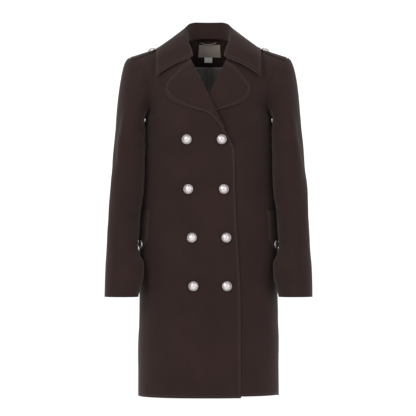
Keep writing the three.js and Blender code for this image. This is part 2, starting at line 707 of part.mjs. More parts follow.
// Sleeves, each of a top sleeve and an under sleeve
const SIDES = [{ side: 'right', mirrored: false }, { side: 'left', mirrored: true }];
const tube = sleeveTube();
const placed = (grid, mirrored) => (mirrored ? mirrorGrid(grid) : grid);
SIDES.forEach(({ side, mirrored }) => {
  const backSeamBefore = BACK_SLEEVE_SEAM - LOOPS.length;
  add(sleevePanel(`sleeve_top_${side}`, tube, FRONT_SLEEVE_SEAM, BACK_SLEEVE_SEAM, mirrored));
  add(sleevePanel(`sleeve_under_${side}`, tube, backSeamBefore, FRONT_SLEEVE_SEAM, mirrored));
  add(wall(`epaulette_${side}`, WOOL, placed(epauletteGrid(), mirrored)));
  add(wall(`pocket_flap_${side}`, WOOL, placed(flapGrid(), mirrored)));
  sideButtons(side, mirrored);
});
frontButtons();

// Inside the neck
const facing = { left: -47, right: 47, head: neckHead, foot: () => FACING_FOOT_Z };
const lining = {
  left: -92,
  right: 92,
  head: () => FACING_FOOT_Z - SEAM,
  foot: () => LINING_FOOT_Z,
  pleat: (x) => PLEAT_DEPTH * Math.max(0, 1 - Math.abs(x - PLEAT_X) / PLEAT_HALF_WIDTH),
};
const label = { left: LABEL.left, right: LABEL.right, head: () => LABEL.top, foot: () => LABEL.foot };
const tag = { left: TAG.left, right: TAG.right, head: () => TAG.top, foot: () => TAG.foot };
const inside = WALL + INSIDE_LIE;
const onFacing = inside + FACING_WALL + 2.4 * LIE;
add(innerPatch('back_neck_facing', WOOL, facing, inside, FACING_WALL, { across: 8, up: 4 }));
add(innerPatch('back_lining', SATIN, lining, inside, LINING_WALL, { across: 16, up: 6 }));
add(innerPatch('neck_label', WOVEN, label, onFacing, LABEL_WALL, { across: 4, up: 2 }));
add(innerPatch('size_tag', WHITE_TAPE, tag, onFacing, LABEL_WALL, { across: 2, up: 2 }));
add(hangerLoop());

export default coat;
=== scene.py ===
# %% [markdown]
# # A double-breasted military coat in heavy wool
# The coat is rebuilt as it is worn, with nobody in it. The rigid model gives the true shape and
# size of each piece. Here each piece of cloth is made again as a thin shell on the same form, with
# pressed edges, soft creases, stitching and a napped wool finish.

# %% Load the frame
import math
import bmesh
import bpy
import numpy as np
from mathutils import Matrix, Vector


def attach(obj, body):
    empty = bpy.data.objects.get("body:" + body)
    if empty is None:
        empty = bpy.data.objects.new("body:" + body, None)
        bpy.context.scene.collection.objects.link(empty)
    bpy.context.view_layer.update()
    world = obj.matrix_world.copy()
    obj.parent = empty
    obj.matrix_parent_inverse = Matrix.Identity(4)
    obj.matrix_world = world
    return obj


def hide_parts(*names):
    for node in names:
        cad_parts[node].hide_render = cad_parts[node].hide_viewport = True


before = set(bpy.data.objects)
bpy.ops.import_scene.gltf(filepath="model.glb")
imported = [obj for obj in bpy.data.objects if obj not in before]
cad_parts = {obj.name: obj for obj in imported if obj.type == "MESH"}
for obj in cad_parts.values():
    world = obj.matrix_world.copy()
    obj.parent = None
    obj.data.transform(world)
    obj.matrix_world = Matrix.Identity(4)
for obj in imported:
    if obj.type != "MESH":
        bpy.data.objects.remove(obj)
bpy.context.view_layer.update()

# %% [markdown]
# ## The camera and the studio
# The photograph was taken square to the front from far away, so a long lens stands eight metres
# off, level with the coat's middle. The floor runs up into a pale backdrop, and large soft
# lights leave no hard shadow.

# %% Camera
MM = 0.001
MM_PER_PIXEL = 2.6
PICTURE_SIDE = 416
PICTURE_CENTRE = (-1.3, -405.6)
CAMERA_DISTANCE = 8.0
SENSOR = 36.0
FAR_END = 60


def shown(made):
    bpy.context.scene.collection.objects.link(made)
    return made


camera_data = bpy.data.cameras.new("camera")
camera_data.sensor_width = SENSOR
camera_data.lens = SENSOR * CAMERA_DISTANCE / (PICTURE_SIDE * MM_PER_PIXEL * MM)
camera_data.clip_end = FAR_END
camera = shown(bpy.data.objects.new("camera", camera_data))
camera.location = (PICTURE_CENTRE[0] * MM, -CAMERA_DISTANCE, PICTURE_CENTRE[1] * MM)
camera.rotation_euler = (math.radians(90), 0, 0)
bpy.context.scene.camera = camera
print("lens", round(camera_data.lens, 1), "mm")

# %% Floor and backdrop
FLOOR_Z = -1.40
FLOOR_NEAR_Y = -9.5
FLOOR_HALF_WIDTH = 7
BACKDROP_Y = 16.0
BACKDROP_TOP_Z = 4.0
SWEEP = 0.8
SWEEP_STEPS = 12
PAPER_GLOW = 0.35


def mesh_object(name, points, faces, material=None):
    mesh = bpy.data.meshes.new(name)
    mesh.from_pydata([tuple(p) for p in points], [], [tuple(f) for f in faces])
    mesh.update()
    mesh.shade_smooth()
    if material:
        mesh.materials.append(material)
    return shown(bpy.data.objects.new(name, mesh))


def studio_sweep():
    profile = [(FLOOR_NEAR_Y, FLOOR_Z), (BACKDROP_Y - SWEEP, FLOOR_Z)]
    for k in range(1, SWEEP_STEPS + 1):
        angle = math.pi / 2 * k / SWEEP_STEPS
        profile.append((BACKDROP_Y - SWEEP + SWEEP * math.sin(angle),
                        FLOOR_Z + SWEEP - SWEEP * math.cos(angle)))
    profile.append((BACKDROP_Y, BACKDROP_TOP_Z))
    points = [(x, y, z) for y, z in profile for x in (-FLOOR_HALF_WIDTH, FLOOR_HALF_WIDTH)]
    faces = [(2 * k, 2 * k + 1, 2 * k + 3, 2 * k + 2) for k in range(len(profile) - 1)]
    paper = bpy.data.materials.new("studio paper")
    paper.use_nodes = True
    look = paper.node_tree.nodes["Principled BSDF"].inputs
    look["Base Color"].default_value = (0.86, 0.86, 0.86, 1)
    look["Roughness"].default_value = 0.9
    look["Emission Color"].default_value = (1, 1, 1, 1)
    look["Emission Strength"].default_value = PAPER_GLOW
    return mesh_object("studio", points, faces, paper)


studio_sweep()
print("floor and backdrop")

# %% Lights
COAT_MIDDLE = (0, 0, -0.4)
LIGHTS = [
    ("key", (-2.3, -3.4, 1.5), (1.4, 2.0), 100), ("fill", (2.5, -3.2, 0.9), (1.8, 2.4), 48),
    ("top", (0, -0.3, 2.6), (2.4, 1.6), 26), ("back left", (-2.1, 1.5, 0.5), (0.8, 2.4), 14),
    ("back right", (2.1, 1.5, 0.5), (0.8, 2.4), 14)]
AIR_COLOUR = (0.95, 0.97, 1, 1)
AIR_STRENGTH = 0.75


def soft_light(name, place, size, power):
    data = bpy.data.lights.new(name, "AREA")
    data.shape = "RECTANGLE"
    data.size, data.size_y = size
    data.energy = power
    made = shown(bpy.data.objects.new(name, data))
    made.location = place
    made.rotation_euler = (Vector(COAT_MIDDLE) - Vector(place)).to_track_quat("-Z", "Y").to_euler()


for light in LIGHTS:
    soft_light(*light)
world = bpy.data.worlds.new("studio air")
world.use_nodes = True
air = world.node_tree.nodes["Background"].inputs
air["Color"].default_value = AIR_COLOUR
air["Strength"].default_value = AIR_STRENGTH
bpy.context.scene.world = world
bpy.context.scene.view_settings.view_transform = "Standard"
print(len(bpy.data.lights), "lights")

# %% [markdown]
# ## The form
# The tables say how wide and how deep the coat is at each height, as in the rigid model, in
# millimetres. A table is read with no corner at a row. The body is a rounded section below the
# armpit, and above it the section narrows to the shoulder seam.

# %% Tables of the body
WALL = 2.4
SEAM = 0.3
LIE = 0.5
ROLL = 3.6
ARMPIT_Z = -170
HEM_Z = -893
ROUNDNESS = 2.3
NECK_HALF_WIDTH = 60


def table(columns, *rows):
    grid = np.array(rows, dtype=float)
    return {name: grid[:, k] for k, name in enumerate(columns.split())}


BODY = table(
    "z half front back",
    (-893, 183, 130, 132), (-760, 181.5, 127, 130), (-620, 179, 122, 128), (-520, 180.5, 118, 124),
    (-430, 178, 112, 115), (-350, 171.5, 107, 106), (-260, 168.5, 113, 109), (-170, 164.5, 118, 114))
YOKE = table(
    "up frontX backX frontEdge backEdge chest back neckBack",
    (0.00, 163, 163, 0, 0, 118, 114, 114), (0.06, 159, 161, 30, 32, 118, 114, 114),
    (0.18, 154, 159, 50, 52, 117, 114, 114), (0.38, 154, 161, 62, 66, 108, 109, 112),
    (0.60, 165, 170, 60, 62, 87, 94, 105), (0.78, 180, 183, 48, 49, 60, 72, 95),
    (0.90, 193, 194, 33, 33, 37, 47, 84), (0.97, 201, 201, 17, 17, 18, 22, 75),
    (1.00, 205, 205, 0, 0, 0, 0, 68))
SHOULDER = table(
    "x z", (0, 40), (30, 38), (60, 30), (125, 8), (165, -5), (190, -13), (205, -18), (222, -30))
FRONT_EDGE = table(
    "z x", (-893, 83), (-620, 81), (-500, 75), (-430, 71), (-370, 69), (-255, 66), (-233, 56),
    (-210, 43), (-170, 24), (-109, -5), (-29, -44), (4, -54), (30, -60))
SLEEVE = table(
    "z inner outer midY depth",
    (-202, 165.6, 238.5, -25, 65), (-250, 166.8, 243.5, -31, 64), (-310, 167.6, 248.5, -36, 63),
    (-365, 170.2, 254, -38, 62), (-420, 178.4, 257, -41, 60), (-475, 181.2, 260, -45, 58),
    (-499, 184.2, 261, -49, 57), (-524, 180, 262, -57, 54), (-550, 168.5, 263.5, -71, 50),
    (-582, 169.5, 264.5, -76, 51), (-612, 178, 265.2, -77, 53), (-634, 183, 265.5, -77, 54))
COLLAR = table(
    "foldX foldY foldZ edgeX edgeY edgeZ seamX seamY seamZ",
    (0, 70, 79, 0, 98, 0, 0, 61.5, 37.5), (30, 64, 79, 52, 94, 0, 27, 53.5, 36),
    (50, 42, 73, 96, 74, 2, 42.5, 37, 32), (58, 14, 60, 124, 40, 7, 51, 16.5, 29.5),
    (59, -14, 44, 131, -6, 8, 52.5, -9, 26), (53, -46, 15, 131, -58, -14, 45, -34, 11),
    (44, -76, -24, 130, -92, -70, 36, -58, -22))
COLLAR["share"] = np.linspace(0, 1, len(COLLAR["foldX"]))
LAPEL_EDGE = [
    (43, -210), (19, -181), (-2, -161), (-36, -151), (-73, -139), (-92, -128), (-105, -112), (-107, -92)]
LAPEL_TOP = [(-44, -29), (-68, -43), (-88, -67), (-107, -92)]
BUTTON_ROWS = [(-229, -54, 33), (-357, -51, 39), (-482, -42, 45), (-606, -38, 46.5)]


def read(rows, key, at, column):
    keys, values = rows[key], rows[column]
    if keys[-1] < keys[0]:
        keys, values = keys[::-1], values[::-1]
    width = np.diff(keys)
    slope = np.diff(values) / width
    both = slope[:-1] * slope[1:]
    total = np.where(both > 0, slope[:-1] + slope[1:], 1)
    bend = np.concatenate([slope[:1], np.where(both > 0, 2 * both / total, 0), slope[-1:]])
    at = np.clip(at, keys[0], keys[-1])
    i = np.clip(np.searchsorted(keys, at, side="left") - 1, 0, len(keys) - 2)
    t = (at - keys[i]) / width[i]
    return (values[i] * (2 * t**3 - 3 * t**2 + 1) + values[i + 1] * (3 * t**2 - 2 * t**3)
            + bend[i] * width[i] * (t**3 - 2 * t**2 + t) + bend[i + 1] * width[i] * (t**3 - t**2))


print("half width at the hem", float(read(BODY, "z", HEM_Z, "half")))

# %% The skin of the body
def smooth(x, low, high):
    t = np.clip((x - low) / (high - low), 0, 1)
    return t * t * (3 - 2 * t)


def mix(a, b, t):
    return a + (b - a) * t


def stack(x, y, z):
    return np.stack(np.broadcast_arrays(x, y, z), axis=-1).astype(float)


def section(turn, power=2 / ROUNDNESS):
    angle = turn * math.pi / 2
    across = np.cos(angle)
    return np.sign(across) * np.abs(across) ** (2 / ROUNDNESS), np.maximum(np.sin(angle), 0) ** power


def turn_at(x, half):
    share = np.clip(x / half, -1, 1)
    return np.arccos(np.sign(share) * np.abs(share) ** (ROUNDNESS / 2)) / (math.pi / 2)


def low_point(face, turn, z):
    across, deep = section(turn)
    depth = read(BODY, "z", z, "front" if face < 0 else "back")
    return stack(across * read(BODY, "z", z, "half"), face * depth * deep, z)


def high_point(face, turn, up):
    side = "front" if face < 0 else "back"
    edge = read(YOKE, "up", up, side + "Edge")
    middle = read(YOKE, "up", up, "chest" if face < 0 else "back")
    across, deep = section(turn)
    slanted = section(turn, 1.7)[1]
    x = across * read(YOKE, "up", up, side + "X")
    square = ((middle * deep) ** 4 + edge**4) ** 0.25
    depth = mix(square, edge + (middle - edge) * slanted, smooth(up, 0.04, 0.5))
    z = ARMPIT_Z + up * (read(SHOULDER, "x", np.abs(x), "z") - ARMPIT_Z)
    if face > 0:
        reach = mix(210, NECK_HALF_WIDTH, smooth(up, 0.4, 1))
        near = np.maximum(0, 1 - (x / reach) ** 2) ** mix(1.4, 0.5, smooth(up, 0.85, 1))
        depth = depth + near * np.maximum(0, read(YOKE, "up", up, "neckBack") - depth)
    return stack(x, face * depth, z)


def skin_y(face, x, z):
    x, z = np.broadcast_arrays(np.asarray(x, float), np.asarray(z, float))
    top = read(SHOULDER, "x", np.abs(x), "z")
    up = np.clip((z - ARMPIT_Z) / (top - ARMPIT_Z), 0, 1)
    low = low_point(face, turn_at(np.abs(x), read(BODY, "z", z, "half")), z)[..., 1]
    side = "frontX" if face < 0 else "backX"
    high = high_point(face, turn_at(np.abs(x), read(YOKE, "up", up, side)), up)[..., 1]
    return np.where(z <= ARMPIT_Z, low, high)


def unit(v):
    return v / np.maximum(np.linalg.norm(v, axis=-1, keepdims=True), 1e-9)


def over_skin(face, x, z, out):
    step = 2
    along_x = (skin_y(face, x + step, z) - skin_y(face, x - step, z)) / (2 * step)
    along_z = (skin_y(face, x, z + step) - skin_y(face, x, z - step)) / (2 * step)
    normal = unit(face * stack(-along_x, 1, -along_z))
    return stack(x, skin_y(face, x, z), z) + normal * np.asarray(out, float)[..., None]


def overlap_lift(x, z):
    over_lapel = smooth(z, -262, -212) * (1 - smooth(z, -90, -40))
    return smooth(x, -150, -92) * mix(WALL + LIE, 2 * (WALL + LIE) + ROLL, over_lapel)


print("chest stands", round(float(-skin_y(-1, 0, -200))), "mm before the middle")

# %% [markdown]
# ## From a grid to cloth
# Each panel is a grid of points on the skin. Its lines lie close together along the edges, where
# cloth is pressed, turned and stitched. Creases move the points along the surface's own facing.
# Then a second layer is set behind the first, and a rounded edge joins the two, so that the piece
# is a closed shell.

# %% Measuring a grid
NEAR_EDGE = (0.0, 0.35, 0.9, 1.8, 3.0, 4.6, 5.6, 6.4, 7.2, 8.4, 10.5, 14.0)


def spaced(length, count, near=NEAR_EDGE[:9]):
    """Places along a length, close together at both ends."""
    near = [n for n in near if n < length / 2.2]
    inside = np.linspace(near[-1], length - near[-1], max(3, count - 2 * len(near) + 2))
    return np.concatenate([near, inside[1:-1], length - np.array(near[::-1])])


def facings(grid, is_closed=False):
    if is_closed:
        return facings(np.concatenate([grid[:, -1:], grid, grid[:, :1]], axis=1))[:, 1:-1]
    return unit(np.cross(np.gradient(grid, axis=1), np.gradient(grid, axis=0)))


def run_along(points, axis=0):
    """How far along a line, or each line of a grid, every point lies."""
    steps = np.linalg.norm(np.diff(points, axis=axis), axis=-1)
    start = np.zeros_like(np.take(steps, [0], axis=axis))
    return np.concatenate([start, np.cumsum(steps, axis=axis)], axis=axis)


def edge_distance(grid):
    """How far each point lies from the left, right, lower and upper edge, in millimetres."""
    across, upward = run_along(grid, 1), run_along(grid, 0)
    return {"left": across, "right": across[:, -1:] - across, "low": upward, "high": upward[-1:] - upward}


print("columns near an edge", len(NEAR_EDGE))

# %% Pressing edges and closing the shell
PRESS_DEPTH = 0.9
PRESS_REACH = 3.2
SEAM_DEPTH = 0.75
SEAM_REACH = 3.6
STITCH_FROM_EDGE = 6.4
STITCH_DENT = 0.28
STITCH_DENT_WIDTH = 0.9


def turned_sink(d):
    return PRESS_DEPTH * np.maximum(0, 1 - d / PRESS_REACH) ** 2.4


def sewn_sink(d):
    return SEAM_DEPTH * np.maximum(0, 1 - d / SEAM_REACH) ** 2


def pressed(grid, edges):
    """Rounds turned edges, sinks sewn ones and draws the stitched line in a little."""
    distance = edge_distance(grid)
    sink = np.zeros(grid.shape[:2])
    for side, kind in edges.items():
        d = distance[side]
        if kind == "turned":
            sink += turned_sink(d) + STITCH_DENT * np.exp(-(((d - STITCH_FROM_EDGE) / STITCH_DENT_WIDTH) ** 2))
        elif kind == "sewn":
            sink += sewn_sink(d)
    return grid - facings(grid) * sink[..., None]


def rim_of(rows, columns, is_closed):
    """The points along a grid's border, in order: one ring, or a ring at each end of a tube."""
    if is_closed:
        return [[(0, i) for i in range(columns)], [(rows - 1, columns - 1 - i) for i in range(columns)]]
    return [[(0, i) for i in range(columns - 1)] + [(j, columns - 1) for j in range(rows - 1)]
            + [(rows - 1, i) for i in range(columns - 1, 0, -1)] + [(j, 0) for j in range(rows - 1, 0, -1)]]


def shell(name, grid, wall, material, is_closed=False):
    """A closed shell whose outer side is the grid. A tube's last column meets its first."""
    rows, columns = grid.shape[:2]
    facing = facings(grid, is_closed)
    inner, middle = grid - facing * wall, grid - facing * (wall / 2)
    points = [grid.reshape(-1, 3), inner.reshape(-1, 3)]
    count = rows * columns
    faces = []
    for j in range(rows - 1):
        for i in range(columns if is_closed else columns - 1):
            k = (i + 1) % columns
            a, b, c, d = j * columns + i, j * columns + k, (j + 1) * columns + k, (j + 1) * columns + i
            faces += [(a, b, c, d), (count + d, count + c, count + b, count + a)]
    start = 2 * count
    for rim in rim_of(rows, columns, is_closed):
        ring = []
        for j, i in rim:
            inward = np.zeros(3)
            if j in (0, rows - 1):
                inward += unit(grid[1 if j == 0 else j - 1, i] - grid[j, i])
            if not is_closed and i in (0, columns - 1):
                inward += unit(grid[j, 1 if i == 0 else columns - 2] - grid[j, i])
            ring.append(middle[j, i] - unit(inward) * min(0.5, wall * 0.22))
        points.append(np.array(ring))
        size = len(rim)
        for k in range(size):
            (j0, i0), (j1, i1) = rim[k], rim[(k + 1) % size]
            a, b, m, n = j0 * columns + i0, j1 * columns + i1, start + k, start + (k + 1) % size
            faces += [(b, a, m, n), (n, m, count + a, count + b)]
        start += size
    return mesh_object(name, np.concatenate(points) * MM, faces, material)


print("edges are pressed back", PRESS_DEPTH, "mm")

# %% [markdown]
# ## Creases
# Heavy wool bends in few, broad and soft folds. Each crease here was placed as a line
# from one point to another with a width and a depth. Its section is a shallow trough with a
# lower ridge beside it, uneven along its length, and it dies away at both ends.

# %% Crease fields
CREASE_GAIN = 2.0


def wander(x, seed):
    """A slow uneven wave, the same on each run."""
    return (np.sin(x * 0.021 + seed * 1.7) + 0.6 * np.sin(x * 0.047 + seed * 2.9)
            + 0.35 * np.sin(x * 0.093 + seed * 0.7)) / 1.95


def crease(u, v, start, end, width, depth, seed):
    """Depth of one crease at the places u, v of a panel, in millimetres. Up is a ridge."""
    (u0, v0), (u1, v1) = start, end
    length = math.hypot(u1 - u0, v1 - v0)
    du, dv = (u1 - u0) / length, (v1 - v0) / length
    along = ((u - u0) * du + (v - v0) * dv) / length
    aside = (u - u0) * -dv + (v - v0) * du + width * 0.45 * wander(along * length, seed)
    fade = smooth(along, -0.08, 0.3) * (1 - smooth(along, 0.62, 1.08))
    own = width * (0.85 + 0.3 * along)
    trough = -np.exp(-((aside / own) ** 2))
    ridge = 0.75 * np.exp(-(((aside - 1.5 * own) / (1.1 * own)) ** 2))
    uneven = 1 + 0.3 * wander(along * length * 1.3, seed + 4)
    return CREASE_GAIN * depth * fade * uneven * (trough + ridge)


def creases(u, v, rows, first_seed):
    return sum(crease(u, v, *row, seed=first_seed + k) for k, row in enumerate(rows))


def drape(u, v, seed, height=1.0):
    """The low unevenness of any cloth that hangs."""
    wave = (np.sin(u * 0.023 + 0.9 * np.sin(v * 0.011 + seed)) * np.sin(v * 0.009 + seed * 1.3)
            + 0.5 * np.sin(u * 0.051 + v * 0.013 + seed * 2.1) * np.sin(v * 0.019 - seed))
    return height * wave


def moved(grid, amount):
    return grid + facings(grid) * amount[..., None]


print("crease tools ready")

# %% [markdown]
# ## Cloth and metal
# Melton is a felted wool: its weave can't be seen, only a short nap that catches the light at
# grazing angles. So its colour is a slow cloudy mix of two browns with fine flecks, its bump is
# a fine grain that runs down the cloth, and sheen gives the pale rim. Turned edges and each
# shell's rim are painted in the lighter colour: partly wear, partly a painted highlight where
# the edges catch the light. What several finishes share is a node group, and each material
# keeps its own shader.

# %% Node helpers
NODES_IN_A_ROW = 6
NODE_STEP = (220, -260)


def feed(tree, value, socket):
    """Links a socket to another node's output, or sets its own constant."""
    if hasattr(value, "is_linked"):
        tree.links.new(value, socket)
    else:
        socket.default_value = value


def node(tree, kind, inputs=None, **settings):
    """A node with its inputs fed. Nodes lie in rows, in the order they are made."""
    made = tree.nodes.new(kind)
    row, column = divmod(len(tree.nodes), NODES_IN_A_ROW)
    made.location = (column * NODE_STEP[0], row * NODE_STEP[1])
    for key, value in settings.items():
        setattr(made, key, value)
    for label, value in (inputs or {}).items():
        feed(tree, value, made.inputs[label])
    return made


def new_tree(kind, name, inputs, outputs):
    """A node group with its sockets. Gives the tree, what goes in and where the result goes."""
    tree = bpy.data.node_groups.new(name, kind)
    for label, socket, value in inputs:
        made = tree.interface.new_socket(label, in_out="INPUT", socket_type="NodeSocket" + socket)
        if value is not None:
            made.default_value = value
    for label, socket in outputs:
        tree.interface.new_socket(label, in_out="OUTPUT", socket_type="NodeSocket" + socket)
    return tree, node(tree, "NodeGroupInput").outputs, node(tree, "NodeGroupOutput").inputs


def surface_group(name, inputs):
    tree, given, result = new_tree("ShaderNodeTree", name, inputs, [
        ("Color", "Color"), ("Roughness", "Float"), ("Height", "Float")])
    return tree, given, result, node(tree, "ShaderNodeTexCoord").outputs["Object"]


def noise(tree, place, scale, detail, squash=(1, 1, 1)):
    mapping = node(tree, "ShaderNodeMapping", {"Vector": place, "Scale": squash})
    return node(tree, "ShaderNodeTexNoise", {
        "Vector": mapping.outputs["Vector"], "Scale": scale, "Detail": detail}).outputs["Fac"]


def calc(tree, operation, *values, clamp=False):
    made = node(tree, "ShaderNodeMath", operation=operation, use_clamp=clamp)
    for socket, value in zip(made.inputs, values):
        feed(tree, value, socket)
    return made.outputs[0]


def mix_colour(tree, factor, a, b):
    made = node(tree, "ShaderNodeMix", data_type="RGBA")
    for label, value in (("Factor", factor), ("A", a), ("B", b)):
        feed(tree, value, next(
            s for s in made.inputs if s.name == label and (s.type == "RGBA") == (label != "Factor")))
    return next(s for s in made.outputs if s.type == "RGBA")


def from_to(tree, value, low, high, top):
    return node(tree, "ShaderNodeMapRange", {
        "Value": value, "From Min": low, "From Max": high, "To Max": top}).outputs["Result"]


def painted(tree, name):
    return node(tree, "ShaderNodeAttribute", attribute_name=name).outputs["Fac"]


def finish_group(tree, result, colour, roughness, height):
    for label, value in (("Color", colour), ("Roughness", roughness), ("Height", height)):
        tree.links.new(value, result[label])
    return tree


def material_with(name, group, settings, fixed, bump_strength, bump_distance):
    """A material whose colour, roughness and bump come from a group, with its own shader."""
    material = bpy.data.materials.new(name)
    material.use_nodes = True
    tree = material.node_tree
    source = node(tree, "ShaderNodeGroup", node_tree=group)
    for label, value in settings.items():
        source.inputs[label].default_value = value
    bump = node(tree, "ShaderNodeBump", {
        "Strength": bump_strength, "Distance": bump_distance, "Height": source.outputs["Height"]})
    look = tree.nodes["Principled BSDF"].inputs
    for label, value in {"Base Color": source.outputs["Color"], "Roughness": source.outputs["Roughness"],
                         "Normal": bump.outputs["Normal"], **fixed}.items():
        feed(tree, value, look[label])
    return material


print("node helpers ready")

# %% Napped wool
def napped_wool():
    tree, given, result, place = surface_group("napped wool", [
        ("Deep", "Color", (0.02, 0.012, 0.012, 1)), ("Light", "Color", (0.05, 0.035, 0.033, 1)),
        ("Fleck and edge highlight", "Color", (0.07, 0.055, 0.05, 1)), ("Roughness", "Float", 0.9)])
    cloud = noise(tree, place, 11, 3)
    mottle = noise(tree, place, 170, 4, (1, 1, 0.6))
    nap = noise(tree, place, 950, 3, (1, 1, 0.3))
    grain = noise(tree, place, 2600, 2)
    shade = calc(tree, "MULTIPLY_ADD", cloud, 0.55, -0.05)
    shade = calc(tree, "MULTIPLY_ADD", mottle, 0.35, shade)
    shade = calc(tree, "MULTIPLY_ADD", nap, 0.3, shade, clamp=True)
    colour = mix_colour(tree, shade, given["Deep"], given["Light"])
    colour = mix_colour(tree, from_to(tree, grain, 0.63, 0.75, 0.35), colour, given["Fleck and edge highlight"])
    # Painted highlight and wear: near turned edges and on the rim the cloth is painted in the lighter colour, partly
    # real wear and partly a painted highlight where the edges catch the light.
    edge_highlight_amount = calc(tree, "MULTIPLY", painted(tree, "edge_highlight_and_wear"), mottle, clamp=True)
    colour = mix_colour(tree, edge_highlight_amount, colour, given["Fleck and edge highlight"])
    rough = calc(tree, "MULTIPLY_ADD", nap, -0.12, given["Roughness"], clamp=True)
    height = calc(tree, "MULTIPLY_ADD", mottle, 0.5, calc(tree, "MULTIPLY_ADD", grain, 0.5, nap))
    return finish_group(tree, result, colour, rough, height)


WOOL_GROUP = napped_wool()
# The lighter colour gives the flecks, which are the cloth's own, and the painted edge highlight and wear.
WOOL = material_with(
    "brown melton", WOOL_GROUP,
    {"Deep": (0.0105, 0.0052, 0.0048, 1), "Light": (0.0235, 0.0118, 0.0108, 1),
     "Fleck and edge highlight": (0.044, 0.03, 0.026, 1), "Roughness": 0.95},
    {"Sheen Weight": 0.07, "Sheen Roughness": 0.5, "Sheen Tint": (0.9, 0.84, 0.72, 1), "Specular IOR Level": 0.1},
    0.5, 0.0006)
THREAD = material_with(
    "brown thread", WOOL_GROUP,
    {"Deep": (0.03, 0.02, 0.019, 1), "Light": (0.06, 0.042, 0.04, 1),
     "Fleck and edge highlight": (0.09, 0.07, 0.06, 1), "Roughness": 0.7},
    {"Sheen Weight": 0.2, "Specular IOR Level": 0.4}, 0.3, 0.0003)
print("wool and thread")

# %% Woven cloth: satin, label, tape and loop
def woven_cloth():
    tree, given, result, place = surface_group("woven cloth", [
        ("Warp", "Color", (0.03, 0.03, 0.03, 1)), ("Weft", "Color", (0.05, 0.05, 0.05, 1)),
        ("Threads", "Float", 1200.0), ("Roughness", "Float", 0.4)])
    across, along = (node(tree, "ShaderNodeTexWave", {
        "Vector": place, "Scale": given["Threads"], "Distortion": 0.6},
        wave_type="BANDS", bands_direction=axis).outputs["Fac"] for axis in "XZ")
    slub = noise(tree, place, 60, 4, (1, 1, 0.15))
    cross = calc(tree, "MULTIPLY", across, along)
    shade = calc(tree, "MULTIPLY_ADD", cross, 0.6, calc(tree, "MULTIPLY", slub, 0.5), clamp=True)
    colour = mix_colour(tree, shade, given["Warp"], given["Weft"])
    rough = calc(tree, "MULTIPLY_ADD", slub, 0.15, given["Roughness"])
    return finish_group(tree, result, colour, rough, calc(tree, "ADD", cross, slub))


def weave(name, warp, weft, threads, roughness, fixed, bump_strength, bump_distance):
    return material_with(name, WEAVE_GROUP, {
        "Warp": (*warp, 1), "Weft": (*weft, 1), "Threads": threads, "Roughness": roughness},
        fixed, bump_strength, bump_distance)


WEAVE_GROUP = woven_cloth()
SATIN = weave("charcoal satin", (0.1, 0.09, 0.084), (0.2, 0.184, 0.172), 900, 0.34,
              {"Specular IOR Level": 0.5, "Sheen Weight": 0.15}, 0.15, 0.0002)
LOOP_CLOTH = weave("loop satin", (0.10, 0.075, 0.068), (0.2, 0.165, 0.15), 700, 0.35,
                   {"Specular IOR Level": 0.6}, 0.2, 0.0003)
LABEL_CLOTH = weave("woven label", (0.22, 0.175, 0.15), (0.38, 0.31, 0.27), 420, 0.6,
                    {"Sheen Weight": 0.1}, 0.35, 0.0004)
TAPE = weave("white tape", (0.72, 0.7, 0.68), (0.86, 0.84, 0.82), 500, 0.75, {}, 0.25, 0.0003)
print("four woven cloths")

# %% Old silver
def old_metal():
    tree, given, result, place = surface_group("old metal", [
        ("Bright", "Color", (0.7, 0.67, 0.65, 1)), ("Patina", "Color", (0.08, 0.07, 0.065, 1)),
        ("Roughness", "Float", 0.3)])
    dirt = noise(tree, place, 420, 4)
    scratch = noise(tree, place, 1900, 3, (1, 1, 0.2))
    raised = calc(tree, "MULTIPLY_ADD", dirt, 0.3, painted(tree, "relief"))
    colour = mix_colour(tree, from_to(tree, raised, 0.22, 0.62, 1.0), given["Patina"], given["Bright"])
    rough = calc(tree, "MULTIPLY_ADD", scratch, 0.18, given["Roughness"])
    return finish_group(tree, result, colour, rough, calc(tree, "ADD", dirt, scratch))


PEWTER = material_with(
    "old silver", old_metal(),
    {"Bright": (0.56, 0.52, 0.51, 1), "Patina": (0.1, 0.088, 0.084, 1), "Roughness": 0.3},
    {"Metallic": 1.0}, 0.08, 0.0002)
print("metal")

# %% [markdown]
# ## Declaring a piece
# Every piece of cloth takes a material, hides the rigid solids it stands for, hangs from one
# root, and keeps how large it was cut. The size is measured on the finished grid: the longest
# row, the longest column, and the area between the points.

# %% Declaring helpers
cut_sizes = {}
# How far the painted edge highlight and wear reaches in from a turned edge, and its strength on the rim.
EDGE_HIGHLIGHT_REACH = 2.2
RIM_HIGHLIGHT_AND_WEAR = 0.6
STITCH_AT = NEAR_EDGE.index(STITCH_FROM_EDGE)
STITCH_LIFT = 0.1
stitch_lines = []


def measure(grid):
    rows = np.linalg.norm(np.diff(grid, axis=1), axis=2).sum(axis=1).max() * MM
    columns = np.linalg.norm(np.diff(grid, axis=0), axis=2).sum(axis=0).max() * MM
    one = np.cross(grid[:-1, 1:] - grid[:-1, :-1], grid[1:, :-1] - grid[:-1, :-1])
    two = np.cross(grid[:-1, 1:] - grid[1:, 1:], grid[1:, :-1] - grid[1:, 1:])
    area = (np.linalg.norm(one, axis=2).sum() + np.linalg.norm(two, axis=2).sum()) / 2 * MM * MM
    return float(rows), float(columns), float(min(area, rows * columns))


def declare(piece, slot, *nodes):
    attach(piece, "root")
    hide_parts(*nodes)


def declare_cloth(piece, grid, nodes, slot):
    width, length, area = measure(grid)
    declare(piece, slot, *nodes)
    cut_sizes[piece.name] = (round(width, 3), round(length, 3), round(area, 4))
    print(piece.name, "cut", cut_sizes[piece.name])


def paint(piece, name, values):
    attribute = piece.data.attributes.new(name, "FLOAT", "POINT")
    attribute.data.foreach_set("value", np.asarray(values, dtype=np.float32))


